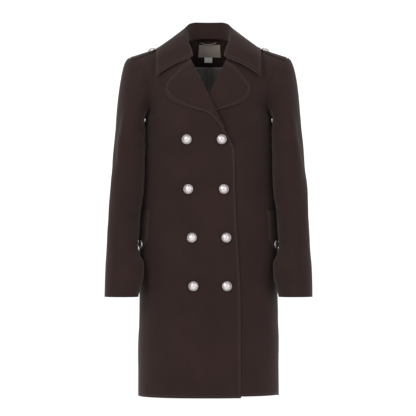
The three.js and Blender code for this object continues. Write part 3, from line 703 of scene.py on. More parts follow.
def paint_edge_highlight_and_wear(piece, near, rim):
    """Paints the mask of painted edge highlight and wear: how near each point of the outer side lies to a turned edge,
    and the rim.
    """
    values = np.zeros(len(piece.data.vertices))
    values[: near.size] = near.ravel()
    values[2 * near.size:] = rim
    paint(piece, "edge_highlight_and_wear", values)


# The mask of painted edge highlight and wear: one at a turned edge, fading inwards.
def edge_highlight_and_wear_of(grid, edges):
    distance = edge_distance(grid)
    near = np.zeros(grid.shape[:2])
    for side, kind in edges.items():
        if kind == "turned":
            near = np.maximum(near, np.exp(-distance[side] / EDGE_HIGHLIGHT_REACH))
    return near


def stitched(grid, edges):
    """Keeps the lines that the machine ran along, just over the surface."""
    face = grid + facings(grid) * STITCH_LIFT
    lines = {"left": face[:, STITCH_AT], "right": face[:, -1 - STITCH_AT],
             "low": face[STITCH_AT], "high": face[-1 - STITCH_AT]}
    for side, kind in edges.items():
        if kind == "turned":
            stitch_lines.append(lines[side][STITCH_AT:-STITCH_AT])


def cloth(name, grid, edges, nodes, slot="wool", material=WOOL, wall=WALL, sew=True):
    grid = pressed(grid, edges)
    piece = shell(name, grid, wall, material)
    paint_edge_highlight_and_wear(piece, edge_highlight_and_wear_of(grid, edges), RIM_HIGHLIGHT_AND_WEAR)
    declare_cloth(piece, grid, nodes, slot)
    if sew:
        stitched(grid, edges)


def mirrored(grid):
    return (grid * np.array([-1, 1, 1]))[:, ::-1]


def edges_of(turned=(), sewn=()):
    return {**dict.fromkeys(turned, "turned"), **dict.fromkeys(sewn, "sewn")}


print("declaring helpers ready")

# %% [markdown]
# ## Fronts and backs
# The fronts lap over each other, so the upper one is lifted clear of the lower one and its
# lapel. Both follow the same skin as the rigid model. Their creases are the broad ones of thick
# cloth: pulls from the top buttons, a break at the waist and long soft falls down the skirt.

# %% Rows of a body panel
SHARE_DIGITS = 5
FRONT_RISE = 0.985
NECK_Z = 30


def tidy_shares(*groups):
    return np.unique(np.round(np.concatenate(groups), SHARE_DIGITS))


def shares_along(length, count):
    return spaced(length, count, NEAR_EDGE) / length


def heights(hem, rise_top):
    low = spaced(ARMPIT_Z - hem, 92, NEAR_EDGE) + hem
    low = np.concatenate([low[:-len(NEAR_EDGE)], np.linspace(low[-len(NEAR_EDGE)], ARMPIT_Z, 3)[1:-1]])
    return low, tidy_shares(np.linspace(0, rise_top, 34), rise_top - np.array(NEAR_EDGE[1:9]) / 200)


def body_grid(face, shares, hem, rise_top, inner_at):
    """Rows from the hem up to the shoulder, each from the side to the inner edge."""
    low, high = heights(hem, rise_top)
    rows = []
    for z in low:
        turn = shares * turn_at(inner_at(z), read(BODY, "z", z, "half"))
        rows.append(low_point(face, turn, np.full_like(turn, z)))
    for up in high:
        half = read(YOKE, "up", up, "frontX" if face < 0 else "backX")
        turn = shares * turn_at(inner_at(mix(ARMPIT_Z, NECK_Z, up)), half)
        rows.append(high_point(face, turn, np.full_like(turn, up)))
    return np.array(rows)


def seamed(grid, face):
    """Leaves the seam's gap where the panel meets its neighbour at the side."""
    grid[..., 1] = np.where(np.abs(grid[..., 1]) < 0.2, face * SEAM / 2, grid[..., 1])
    return grid


def front_panel(hem, is_over):
    shares = shares_along(420, 104)[::-1]
    grid = body_grid(-1, shares, hem, FRONT_RISE, lambda z: -read(FRONT_EDGE, "z", z, "x"))
    if is_over:
        lift = overlap_lift(-grid[..., 0], grid[..., 2])
        lifted = over_skin(-1, grid[..., 0], grid[..., 2], lift)
        grid = np.where((lift > 0.01)[..., None], lifted, grid)
    return seamed(grid, -1)


def inside_edges(grid, reach=14):
    """Nothing is creased right at an edge, so neighbouring panels still meet."""
    distance = edge_distance(grid)
    keep = np.ones(grid.shape[:2])
    for side in ("left", "right", "high"):
        keep = keep * smooth(distance[side], 0, reach)
    return keep


print("rows of a panel", sum(len(h) for h in heights(HEM_Z, FRONT_RISE)))

# %% The two fronts
UNDER_SHORTER = 4
HIDDEN_SINK = 1.2
OVER_CREASES = [
    ((-60, -232), (-140, -182), 9, 0.9),
    ((-62, -240), (-150, -262), 11, 0.8),
    ((-20, -352), (-148, -330), 12, 1.0),
    ((-40, -372), (-150, -398), 14, 0.9),
    ((20, -300), (-40, -335), 10, 0.5),
    ((-96, -470), (-120, -860), 22, 1.5),
    ((-40, -640), (-58, -880), 20, 1.1),
    ((22, -560), (30, -870), 18, 0.8),
    ((-130, -110), (-92, -60), 10, 0.9),
    ((-128, -148), (-96, -170), 9, 0.8),
]
UNDER_CREASES = [
    ((66, -240), (142, -188), 9, 0.9),
    ((84, -330), (150, -352), 12, 1.0),
    ((82, -392), (150, -372), 13, 0.9),
    ((112, -470), (128, -860), 22, 1.5),
    ((96, -620), (92, -880), 16, 1.0),
    ((130, -112), (94, -62), 10, 0.9),
    ((128, -150), (98, -172), 9, 0.8),
]


def creased_front(grid, rows, first_seed, seed, low_limit):
    x, z = grid[..., 0], grid[..., 2]
    amount = creases(x, z, rows, first_seed) + drape(x, z, seed, 0.7)
    return moved(grid, np.clip(amount, low_limit, 2.2) * inside_edges(grid))


over_grid = creased_front(mirrored(front_panel(HEM_Z, True)), OVER_CREASES, 1, 0.3, -1.4)
under_grid = creased_front(front_panel(HEM_Z + UNDER_SHORTER, False), UNDER_CREASES, 11, 2.2, -1.6)
hidden = smooth(under_grid[..., 0], 95, 70)
under_grid = under_grid - facings(under_grid) * (HIDDEN_SINK * hidden)[..., None]
cloth("coat_front_over", over_grid, edges_of(["right", "low"], ["left"]), ["front_over"])
cloth("coat_front_under", under_grid, edges_of(["left", "low"], ["right"]), ["front_under"])

# %% The two backs
def back_panel():
    shares = tidy_shares(shares_along(300, 84), np.linspace(0.82, 0.94, 15))
    return seamed(body_grid(1, shares, HEM_Z, 1.0, lambda z: SEAM / 2), 1)


BACK_CREASES = [
    ((130, -96), (52, -150), 12, 1.3),
    ((140, -150), (60, -205), 14, 1.2),
    ((150, -340), (40, -322), 14, 1.4),
    ((146, -376), (30, -368), 15, 1.3),
    ((120, -470), (132, -860), 22, 1.7),
    ((64, -520), (74, -870), 24, 1.8),
    ((24, -640), (20, -880), 18, 1.0),
]


def creased_back(seed, lean):
    grid = back_panel()
    x, z = grid[..., 0], grid[..., 2]
    amount = creases(x, z + lean, BACK_CREASES, 21) + drape(x, z, seed, 0.9)
    return moved(grid, np.clip(amount, -1.6, 2.4) * inside_edges(grid))


back_edges = edges_of(["low"], ["left", "right"])
cloth("coat_back_right", creased_back(3.1, 0), back_edges, ["back_right"], sew=False)
cloth("coat_back_left", mirrored(creased_back(5.2, 9)), back_edges, ["back_left"], sew=False)

# %% [markdown]
# ## Lapels
# A lapel is the front's own edge turned outwards along the roll line. The turn isn't pressed flat:
# the cloth rolls over with a radius of a few millimetres and its outer edge rests on the chest.

# %% A smooth line through points
def spline(points, count):
    """An even walk along the smooth curve through the points."""
    points = [np.array(p, dtype=float) for p in points]
    ends = [2 * points[0] - points[1]] + points + [2 * points[-1] - points[-2]]
    walk = []
    for a, b, c, d in zip(ends, ends[1:], ends[2:], ends[3:]):
        knots = np.cumsum([0] + [max(np.linalg.norm(q - p), 1e-6) ** 0.5
                                 for p, q in ((a, b), (b, c), (c, d))])
        for t in np.linspace(knots[1], knots[2], 30, endpoint=False):
            def blend(p, q, i, j):
                return p * (knots[j] - t) / (knots[j] - knots[i]) + q * (t - knots[i]) / (knots[j] - knots[i])
            one, two, three = blend(a, b, 0, 1), blend(b, c, 1, 2), blend(c, d, 2, 3)
            walk.append(blend(blend(one, two, 0, 2), blend(two, three, 1, 3), 1, 2))
    walk = np.array(walk + [points[-1]])
    run = run_along(walk)
    at = np.linspace(0, run[-1], count) if np.isscalar(count) else np.asarray(count) * run[-1]
    return np.stack([np.interp(at, run, walk[:, k]) for k in range(walk.shape[1])], axis=1)


print("lapel edge", len(spline(LAPEL_EDGE, 50)), "points")

# %% The two lapels
ROLL_RADIUS = 3.2
ROLL_ANGLES = np.radians([150, 125, 100, 75, 50, 25])


def lapel_panel(is_over):
    along = mix(0.06, 1, spaced(190, 60) / 190)
    across = tidy_shares([0.02, 0.05, 0.09], np.linspace(0.13, 0.86, 26), 1 - np.array(NEAR_EDGE[8::-1]) / 78)
    edge = spline(LAPEL_EDGE, along)
    top = spline(LAPEL_TOP, across)
    start, end, corner = (np.array(p, float) for p in (LAPEL_EDGE[0], LAPEL_TOP[0], LAPEL_TOP[-1]))
    roll = start + (end - start) * along[:, None]
    flat = end + (corner - end) * across[:, None]
    place = (roll[:, None] * (1 - across)[None, :, None] + edge[:, None] * across[None, :, None]
             + (top - flat)[None] * along[:, None, None])
    x, z = place[..., 0], place[..., 1]
    raised = ROLL * 0.6 * np.exp(-across * 9)[None, :]
    soft = 1.1 * np.sin(np.pi * across)[None, :] * np.sin(np.pi * along)[:, None]
    lift = overlap_lift(x, z) if is_over else np.zeros_like(x)
    out = lift + WALL + 3 * LIE + raised + soft
    body = over_skin(-1, x, z, out)
    turned = [over_skin(-1, x[:, 0] + ROLL_RADIUS * math.sin(angle), z[:, 0],
                        out[:, 0] - ROLL_RADIUS * (1 - math.cos(angle))) for angle in ROLL_ANGLES]
    grid = np.concatenate([np.array(turned).transpose(1, 0, 2), body], axis=1)
    return grid[:, ::-1]


def creased_lapel(is_over, seed):
    grid = lapel_panel(is_over)
    amount = drape(grid[..., 0] * 1.6, grid[..., 2] * 1.6, seed, 0.35)
    return moved(grid, amount * inside_edges(grid, 20))


cloth("coat_lapel_over", creased_lapel(True, 1.1), edges_of(["left", "high"]), ["lapel_over"])
cloth("coat_lapel_under", mirrored(creased_lapel(False, 4.1)), edges_of(["right", "high"]), ["lapel_under"])

# %% [markdown]
# ## Collar
# The stand rises from the neck seam, and the fall turns over it and lies on the shoulders. On the
# real coat they are sewn together under the fold, so here one shell runs up the stand, over the
# fold in a small round and down to the collar's edge.

# %% Lying on the shoulder
def shoulder_top(x, y):
    x, y = np.broadcast_arrays(np.asarray(x, float), np.asarray(y, float))
    low = np.full(x.shape, float(ARMPIT_Z))
    high = read(SHOULDER, "x", np.abs(x), "z").astype(float)
    for _ in range(22):
        z = (low + high) / 2
        deep = np.where(y < 0, np.abs(skin_y(-1, x, z)), np.abs(skin_y(1, x, z)))
        low, high = np.where(deep > np.abs(y), z, low), np.where(deep > np.abs(y), high, z)
    return (low + high) / 2


def on_shoulder(x, y, out):
    step = 3
    along_x = (shoulder_top(x + step, y) - shoulder_top(x - step, y)) / (2 * step)
    along_y = (shoulder_top(x, y + step) - shoulder_top(x, y - step)) / (2 * step)
    return stack(x, y, shoulder_top(x, y)) + unit(stack(-along_x, -along_y, 1)) * np.asarray(out, float)[..., None]


def clear_skin(points, out):
    """Moves points out until they lie clear of the coat under them."""
    q = points.copy()
    for _ in range(4):
        x, z = q[..., 0], q[..., 2]
        top = read(SHOULDER, "x", np.abs(x), "z")
        up = (z - ARMPIT_Z) / (top - ARMPIT_Z)
        for face in (-1, 1):
            base, over = over_skin(face, x, z, np.zeros_like(x)), over_skin(face, x, z, np.ones_like(x))
            normal = over - base
            clear = (q[..., 1] - base[..., 1]) * normal[..., 1]
            use = (np.sign(q[..., 1] + 1e-9) == face) & (up < 0.88) & (clear < out)
            q = np.where(use[..., None], q + normal * (out - clear)[..., None], q)
        base = on_shoulder(q[..., 0], q[..., 1], np.zeros_like(x))
        normal = on_shoulder(q[..., 0], q[..., 1], np.ones_like(x)) - base
        clear = (q[..., 2] - base[..., 2]) * normal[..., 2]
        use = (up >= 0.88) & (np.abs(q[..., 0]) > NECK_HALF_WIDTH) & (clear < out)
        q = np.where(use[..., None], q + normal * (out - clear)[..., None], q)
    return q


print("shoulder height at the strap", round(float(shoulder_top(150, 0)), 1))

# %% The collar
FALL_LENGTH = 1.05
FALL_SHARES = FALL_LENGTH * np.concatenate([
    [0.05, 0.1, 0.16], np.linspace(0.22, 0.86, 16), 1 - np.array(NEAR_EDGE[8::-1]) / 100])
LEVEL = np.array([1, 1, 0])
UP = np.array([0, 0, 1.0])


def collar_panel():
    share = spaced(400, 110) / 200 - 1
    size = np.abs(share)
    side = np.where(share < 0, -1.0, 1.0)

    def station(kind, reach):
        at = size * reach
        return stack(*(read(COLLAR, "share", at, kind + axis) for axis in "XYZ"))

    fold, edge = station("fold", 0.985), station("edge", 0.985)
    stand_fold, seam = station("fold", 0.945), station("seam", 0.945)
    out = edge - fold
    level = unit(out * LEVEL)
    fall_height = np.linalg.norm(out * LEVEL, axis=1)
    facing = unit(level * -out[:, 2:] + UP * fall_height[:, None])
    bulge = mix(5, 4, size)
    top = stand_fold - UP * 5
    top[:, 0] *= mix(1, 0.88, size**2)
    rows = [seam + (top - seam) * up for up in np.linspace(0, 1, 12)]
    over = fold + facing * WALL
    rows += [mix(top, over, 0.45) + UP * 2.2, mix(top, over, 0.8) + UP * 2]
    for across in FALL_SHARES:
        wave = math.sin(math.pi * min(across, 1))
        p = (fold + out * across + level * (bulge * wave * 0.6)[:, None]
             + UP * (bulge * wave * 0.8)[:, None] + facing * WALL)
        rows.append(clear_skin(p, 2 * WALL + 3 * LIE))
    grid = np.array(rows)
    grid[..., 0] *= side
    return grid


collar_grid = collar_panel()
collar_amount = drape(collar_grid[..., 0] * 1.3, collar_grid[..., 1] + collar_grid[..., 2], 6.1, 0.5)
collar_keep = inside_edges(collar_grid, 16) * smooth(np.arange(len(collar_grid)), 14, 20)[:, None]
collar_grid = moved(collar_grid, np.maximum(collar_amount, -0.3) * collar_keep)
cloth("coat_collar", collar_grid, edges_of(["left", "right", "high"]), ["collar_fall", "collar_stand"])

# %% [markdown]
# ## Sleeves
# A tailored sleeve is cut as a wide top sleeve and a narrow under sleeve, so it bends forward
# at the elbow. One tube shows both, with a sunk line at each of their two seams. Its head starts
# in the armhole's own points and swings out over the shoulder.

# %% The tube of a sleeve
FRONT_SEAM_LOOP = 0.1395
BACK_SEAM_LOOP = 0.7627
SLEEVE_ROUNDNESS = 2.15
SLEEVE_SEAMS = (FRONT_SEAM_LOOP, BACK_SEAM_LOOP)
SLEEVE_TOP_Z = -202
CUFF_Z = -634
LOOP_MM = 330


def sleeve_loops():
    around = np.linspace(0, 1, 120, endpoint=False)
    near = [seam + side * d / LOOP_MM for seam in SLEEVE_SEAMS
            for side in (-1, 1) for d in (0, 0.6, 1.3, 2.2, 3.4)]
    keep = [a for a in around if min(abs(a - s) for s in SLEEVE_SEAMS) > 0.0125]
    return np.unique(np.round(keep + near, 6))


def sleeve_point(loop, z):
    inner, outer = read(SLEEVE, "z", z, "inner"), read(SLEEVE, "z", z, "outer")
    angle = loop * 2 * math.pi
    power = 2 / SLEEVE_ROUNDNESS
    across = -np.sign(np.cos(angle)) * np.abs(np.cos(angle)) ** power
    forward = -np.sign(np.sin(angle)) * np.abs(np.sin(angle)) ** power
    return stack((inner + outer) / 2 + (outer - inner) / 2 * across,
                 read(SLEEVE, "z", z, "midY") + read(SLEEVE, "z", z, "depth") * forward, z)


def armhole(loop):
    up = (1 - np.cos(2 * math.pi * loop)) / 2
    front, back = high_point(-1, np.zeros_like(up), up), high_point(1, np.zeros_like(up), up)
    at = np.where((loop <= 0.5)[:, None], front, back)
    return at + stack(SEAM * (2 - smooth(up, 0, 0.3)), 0, 0)


def sleeve_panel():
    loops = sleeve_loops()
    heights_low = spaced(SLEEVE_TOP_Z - CUFF_Z, 84, NEAR_EDGE) + CUFF_Z
    heights_low = heights_low[heights_low < SLEEVE_TOP_Z - 12]
    rows = [sleeve_point(loops, np.full_like(loops, z)) for z in heights_low]
    start, end = armhole(loops), sleeve_point(loops, np.full_like(loops, SLEEVE_TOP_Z))
    span = np.linalg.norm(start - end, axis=1)[:, None]
    leave = np.array([0.995, 0, -0.1]) * (20 + 0.22 * span)
    arrive = np.array([0.07, 0, -1.0]) * span
    for t in np.concatenate([np.linspace(1, 0.06, 30), [0.04, 0.025, 0.013, 0.005, 0]]):
        rows.append(start * (2 * t**3 - 3 * t**2 + 1) + end * (3 * t**2 - 2 * t**3)
                    + leave * (t**3 - 2 * t**2 + t) + arrive * (t**3 - t**2))
    return np.array(rows)[:, ::-1], loops[::-1]


sleeve_base, loop_at = sleeve_panel()
print("sleeve grid", sleeve_base.shape)

# %% Creases and seams of a sleeve
# Strength of the painted highlight and wear on the cuff's rim.
CUFF_RIM_HIGHLIGHT_AND_WEAR = 0.5
SLEEVE_CREASES = [
    ((-0.02, -205), (0.20, -232), 9, 1.6),
    ((-0.04, -236), (0.16, -268), 10, 1.2),
    ((0.02, -388), (0.24, -402), 11, 2.0),
    ((0.00, -424), (0.22, -418), 11, 2.0),
    ((0.04, -456), (0.26, -446), 12, 1.3),
    ((0.62, -396), (0.98, -412), 12, 1.5),
    ((0.66, -432), (0.94, -452), 12, 1.2),
    ((0.30, -150), (0.36, -330), 15, 1.3),
    ((0.44, -250), (0.40, -560), 18, 1.2),
    ((0.72, -120), (0.66, -300), 14, 1.3),
    ((0.16, -520), (0.24, -610), 12, 1.0),
]
SLEEVE_SEAM_DEPTH = 0.8


def sleeve_grid(seed, lean):
    grid = sleeve_base
    loops = np.broadcast_to(loop_at, grid.shape[:2])
    z = grid[..., 2]
    amount = np.zeros(grid.shape[:2])
    for k, (start, end, width, depth) in enumerate(SLEEVE_CREASES):
        for turn in (-1, 0, 1):
            amount += crease((loops + turn) * LOOP_MM, z, (start[0] * LOOP_MM, start[1] + lean),
                             (end[0] * LOOP_MM, end[1] - lean), width, depth, 31 + k + seed)
    amount += 0.6 * np.sin(loops * 2 * math.pi * 3 + z * 0.02 + seed) * np.sin(z * 0.017 + seed)
    from_low = run_along(grid)
    from_top = from_low[-1:] - from_low
    amount = np.clip(amount, -2.4, 2.0) * smooth(from_top, 2, 26) * mix(0.5, 1, smooth(from_low, 0, 40))
    facing_side = smooth(np.abs(((loops + 0.5) % 1) - 0.5), 0.17, 0.06)
    amount = np.where(amount > 0, amount * (1 - 0.8 * facing_side), amount)
    for seam in SLEEVE_SEAMS:
        amount -= SLEEVE_SEAM_DEPTH * np.maximum(0, 1 - np.abs(loops - seam) * LOOP_MM / 3.4) ** 2
    amount -= sewn_sink(from_top) + turned_sink(from_low)
    return grid + facings(grid, True) * amount[..., None], from_low


def make_sleeve(side, seed, lean, is_mirrored):
    grid, from_low = sleeve_grid(seed, lean)
    if is_mirrored:
        grid = mirrored(grid)
        from_low = from_low[:, ::-1]
    piece = shell(f"coat_sleeve_{side}", grid, WALL, WOOL, is_closed=True)
    # The cuff is painted lighter near its edge: painted highlight and wear.
    paint_edge_highlight_and_wear(piece, np.exp(-from_low / EDGE_HIGHLIGHT_REACH), CUFF_RIM_HIGHLIGHT_AND_WEAR)
    declare_cloth(piece, np.concatenate([grid, grid[:, :1]], axis=1),
                  [f"sleeve_top_{side}", f"sleeve_under_{side}"], "wool")


make_sleeve("right", 0.0, 0, False)
make_sleeve("left", 1.3, 5, True)

# %% [markdown]
# ## Straps and flaps
# Both are small double layers of cloth, stitched all round. The strap runs out to the sleeve
# seam with a rounded point towards the collar. The flap hangs on the side of the hip and comes
# to a point under its button.

# %% Epaulettes
STRAP_INNER_X = 133
STRAP_OUTER_X = 203
STRAP_HALF = 23


def epaulette_panel():
    across = spaced(2 * STRAP_HALF, 26) / STRAP_HALF - 1
    along = spaced(70, 40) / 70
    y = across[:, None]
    inner = STRAP_INNER_X + 12 * np.abs(y) ** 1.6
    outer = STRAP_OUTER_X - 5.5 * y**2
    x = inner + (outer - inner) * along[None, :]
    half = mix(STRAP_HALF * 0.82, STRAP_HALF, smooth(x, STRAP_INNER_X, STRAP_OUTER_X))
    crown = 0.9 * (1 - y**2) * np.ones_like(x)
    return on_shoulder(x, y * half, LIE + WALL + crown)


strap_grid = epaulette_panel()
cloth("coat_epaulette_right", strap_grid, edges_of(["left", "low", "high"], ["right"]), ["epaulette_right"])
cloth("coat_epaulette_left", mirrored(strap_grid), edges_of(["right", "low", "high"], ["left"]),
      ["epaulette_left"])

# %% Pocket flaps
FLAP_BACK_TURN = 0.09
FLAP_FRONT_TURN = 0.37
FLAP_TOP_Z = -410
FLAP_POINT_DROP = 109
FLAP_SIDE_DROP = 77


def flap_point(turn, z, out):
    place, near = low_point(-1, turn, z), low_point(-1, turn + 0.01, z)
    tangent = near - place
    normal = unit(stack(-tangent[..., 1], tangent[..., 0], 0 * z))
    return place + normal * np.asarray(out, float)[..., None]


def flap_panel():
    across = spaced(58, 30) / 58
    down = spaced(95, 44) / 95
    turn = mix(FLAP_BACK_TURN, FLAP_FRONT_TURN, across)[None, :] * np.ones((len(down), 1))
    from_middle = np.sqrt((2 * across - 1) ** 2 + 0.012)
    drop = mix(FLAP_POINT_DROP, FLAP_SIDE_DROP, np.minimum(from_middle, 1))[None, :]
    z = FLAP_TOP_Z - drop * down[:, None]
    crown = 0.8 * np.sin(math.pi * across)[None, :] * np.sin(math.pi * 0.5 * down)[:, None]
    return flap_point(turn, z, LIE + WALL + 0.6 * down[:, None] + crown)


flap_grid = flap_panel()
for side, grid, front in (("right", flap_grid, "front_under"), ("left", mirrored(flap_grid), "front_over")):
    cloth(f"coat_flap_{side}", grid, edges_of(["left", "right", "high"], ["low"]), [f"pocket_flap_{side}"])

# %% [markdown]
# ## Inside the neck
# Only the back of the neck shows: a facing of the coat's own wool, a satin lining with a pleat
# that gives the back some ease, a hanger loop, and two labels that are left plain.

# %% Facing, lining and labels
INSIDE_LIE = 2.6
FACING_WALL = 1.4
LABEL_WALL = 0.9
LINING_WALL = 1.0
LINING_FOOT_Z = -262
FACING_FOOT_Z = -34
PLEAT_X = 2


def inner_patch(left, right, head, foot, depth, counts, swell=None):
    across = spaced(right - left, counts[0], NEAR_EDGE[:5]) / (right - left)
    up = spaced(60, counts[1], NEAR_EDGE[:5]) / 60
    x = (left + (right - left) * across)[None, :] * np.ones((len(up), 1))
    top = head(x) if callable(head) else np.full_like(x, head)
    z = foot + (top - foot) * up[:, None]
    extra = swell(x, z) if swell else np.zeros_like(x)
    return over_skin(1, x, z, -depth - extra)


def neck_head(x):
    return read(SHOULDER, "x", np.abs(x), "z") - 6


def lining_swell(x, z):
    pleat = 4 * np.maximum(0, 1 - np.abs(x - PLEAT_X) / 9) ** 0.8
    fold = 0.8 * np.sin(x * 0.11 + 0.7) * smooth(z, LINING_FOOT_Z, -120) + 0.5 * np.sin(x * 0.23 - z * 0.03)
    return np.clip(pleat + fold + 0.8, 0, 4.6)


inside = WALL + INSIDE_LIE
on_facing = inside + FACING_WALL + 2.4 * LIE
facing_grid = inner_patch(-47, 47, neck_head, FACING_FOOT_Z, inside + FACING_WALL, (40, 34))
lining_grid = inner_patch(-92, 92, FACING_FOOT_Z - SEAM, LINING_FOOT_Z, inside + LINING_WALL, (110, 60), lining_swell)
label_grid = inner_patch(-28.5, 34.5, 25.5, -7, on_facing + LABEL_WALL, (30, 16))
tag_grid = inner_patch(-11, 10, -7.6, -21.5, on_facing + LABEL_WALL, (14, 12))
cloth("coat_neck_facing", facing_grid, edges_of(sewn=["low"]), ["back_neck_facing"],
      wall=FACING_WALL, sew=False)
cloth("coat_lining", lining_grid, edges_of(sewn=["high"]), ["back_lining"], "satin", SATIN,
      wall=LINING_WALL, sew=False)
cloth("coat_label", label_grid, {}, ["neck_label"], "woven", LABEL_CLOTH,
      wall=LABEL_WALL, sew=False)
cloth("coat_tag", tag_grid, {}, ["size_tag"], "white_tape", TAPE,
      wall=LABEL_WALL, sew=False)

# %% Hanger loop
LOOP_PLACES = [(-24, 35), (-13, 30), (0, 28.5), (13, 30), (24, 35)]
LOOP_RADIUS = 1.6
LOOP_SIDES = 12
LOOP_RIBS = 0.08
LOOP_DEPTH = WALL + 8.5


def cord(name, route, radius, sides, material, ribs):
    """A tube along a line of points, with slanting ribs as on a twisted cord."""
    ahead = unit(np.gradient(route, axis=0))
    across = unit(np.cross(ahead, np.array([0.0, 1.0, 0.05])))
    upright = np.cross(across, ahead)
    run = run_along(route)
    angle = np.linspace(0, 2 * math.pi, sides, endpoint=False)
    swell = radius * (1 + ribs * np.sin(3 * angle[None, :] + run[:, None] * 2.2))
    fade = np.minimum(1, 0.35 + 0.65 * np.minimum(run, run[-1] - run)[:, None] / (1.2 * radius))
    rings = (route[:, None] + (across[:, None] * np.cos(angle)[None, :, None]
             + upright[:, None] * np.sin(angle)[None, :, None]) * (swell * fade)[..., None])
    points = np.concatenate([rings.reshape(-1, 3), route[:1], route[-1:]])
    last, first_tip, last_tip = (len(route) - 1) * sides, len(points) - 2, len(points) - 1
    faces = []
    for i in range(sides):
        k = (i + 1) % sides
        faces += [(j + i, j + k, j + sides + k, j + sides + i) for j in range(0, last, sides)]
        faces += [(k, i, first_tip), (last + i, last + k, last_tip)]
    made = mesh_object(name, points * MM, faces, material)
    work = bmesh.new()
    work.from_mesh(made.data)
    bmesh.ops.recalc_face_normals(work, faces=work.faces)
    work.to_mesh(made.data)
    work.free()
    return made


def at(value):
    return np.array(float(value))


loop_route = spline([over_skin(1, at(x), at(z), at(-LOOP_DEPTH)) for x, z in LOOP_PLACES], 70)
declare(cord("coat_hanger_loop", loop_route, LOOP_RADIUS, LOOP_SIDES, LOOP_CLOTH, LOOP_RIBS),
        "wool", "hanger_loop")
print("loop of", len(loop_route), "rings")

# %% [markdown]
# ## Buttons
# Each button is cast metal: a domed face with a plain eight-petalled rosette, a groove, and a rope
# round the rim. The rope is many slanted beads on a circle, which is work for Geometry Nodes: one
# bead is set on each point of a ring and turned along it.

# %% The rope tree
BEADS = 34
BEAD_SLANT = 0.65
BEAD_SHAPE = (0.72, 0.72, 1.25)
BEAD_RELIEF = 0.8


def set_along(tree, curve, shape, turn, scale):
    """One copy of a shape on each point of a curve, as plain faces."""
    place = node(tree, "GeometryNodeInstanceOnPoints", {
        "Points": curve, "Instance": shape, "Rotation": turn, "Scale": scale})
    return node(tree, "GeometryNodeRealizeInstances", {"Geometry": place.outputs["Instances"]}).outputs["Geometry"]


def along_curve(tree):
    """Turns a shape's own height along the curve."""
    tangent = node(tree, "GeometryNodeInputTangent").outputs["Tangent"]
    return node(tree, "FunctionNodeAlignRotationToVector", {"Vector": tangent}, axis="Z").outputs["Rotation"]


def coated(tree, geometry, material, result):
    made = node(tree, "GeometryNodeSetMaterial", {"Geometry": geometry, "Material": material})
    tree.links.new(made.outputs["Geometry"], result)
    return tree


def rope_tree():
    tree, given, result = new_tree("GeometryNodeTree", "rope rim", [
        ("Face", "Geometry", None), ("Beads", "Int", BEADS), ("Ring radius", "Float", 0.0118),
        ("Bead radius", "Float", 0.001), ("Slant", "Float", BEAD_SLANT), ("Height", "Float", 0.0)],
        [("Button", "Geometry")])
    circle = node(tree, "GeometryNodeCurvePrimitiveCircle", {
        "Resolution": given["Beads"], "Radius": given["Ring radius"]})
    shape = node(tree, "GeometryNodeMeshUVSphere", {"Segments": 8, "Rings": 5, "Radius": given["Bead radius"]})
    stored = node(tree, "GeometryNodeStoreNamedAttribute", {
        "Geometry": shape.outputs["Mesh"], "Name": "relief", "Value": BEAD_RELIEF},
        data_type="FLOAT", domain="POINT")
    slant = node(tree, "ShaderNodeCombineXYZ", {"Y": given["Slant"]})
    turn = node(tree, "FunctionNodeRotateRotation", {
        "Rotation": along_curve(tree), "Rotate By": slant.outputs["Vector"]}, rotation_space="LOCAL")
    ring = set_along(tree, circle.outputs["Curve"], stored.outputs["Geometry"], turn.outputs["Rotation"], BEAD_SHAPE)
    up = node(tree, "ShaderNodeCombineXYZ", {"Z": given["Height"]})
    lift = node(tree, "GeometryNodeTransform", {"Geometry": ring, "Translation": up.outputs["Vector"]})
    both = node(tree, "GeometryNodeJoinGeometry", {"Geometry": lift.outputs["Geometry"]})
    tree.links.new(given["Face"], both.inputs["Geometry"])
    return coated(tree, both.outputs["Geometry"], PEWTER, result["Button"])


def baked(source, tree, settings, name):
    """Runs a tree on an object and keeps the result as an object of its own."""
    modifier = source.modifiers.new(tree.name, "NODES")
    modifier.node_group = tree
    for label, value in settings.items():
        modifier[tree.interface.items_tree[label].identifier] = value
    mesh = bpy.data.meshes.new_from_object(source.evaluated_get(bpy.context.evaluated_depsgraph_get()))
    mesh.name = name
    mesh.shade_smooth()
    made = shown(bpy.data.objects.new(name, mesh))
    bpy.data.objects.remove(source)
    return made


ROPE = rope_tree()
print("rope tree with", len(ROPE.nodes), "nodes")

# %% One button
BUTTON_PROFILE = [
    (0.0, 0.60, 1.0), (0.08, 0.598, 1.0), (0.18, 0.588, 0.9), (0.28, 0.57, 0.9), (0.38, 0.545, 0.9),
    (0.48, 0.51, 0.9), (0.58, 0.465, 0.75), (0.66, 0.42, 0.6), (0.73, 0.385, 0.45), (0.79, 0.335, 0.1),
    (0.84, 0.30, 0.0), (0.90, 0.295, 0.1), (0.96, 0.27, 0.4), (0.995, 0.2, 0.8), (0.985, 0.13, 0.8),
    (0.92, 0.07, 0.5), (0.8, 0.045, 0.2), (0.3, 0.03, 0.1), (0.2, -0.02, 0.1), (0.2, -0.088, 0.1), (0.0, -0.088, 0.1)]
PETALS = 8
BUTTON_SIDES = 64
PETAL_HEIGHT = 0.035
FACE_SHARE = 0.7
COAT_BUTTON_RADIUS = 12.5
SMALL_BUTTON_RADIUS = 10.5
BUTTON_AIR = 1.1
STRAP_BUTTON = (146, -4)
FLAP_BUTTON_Z = -499


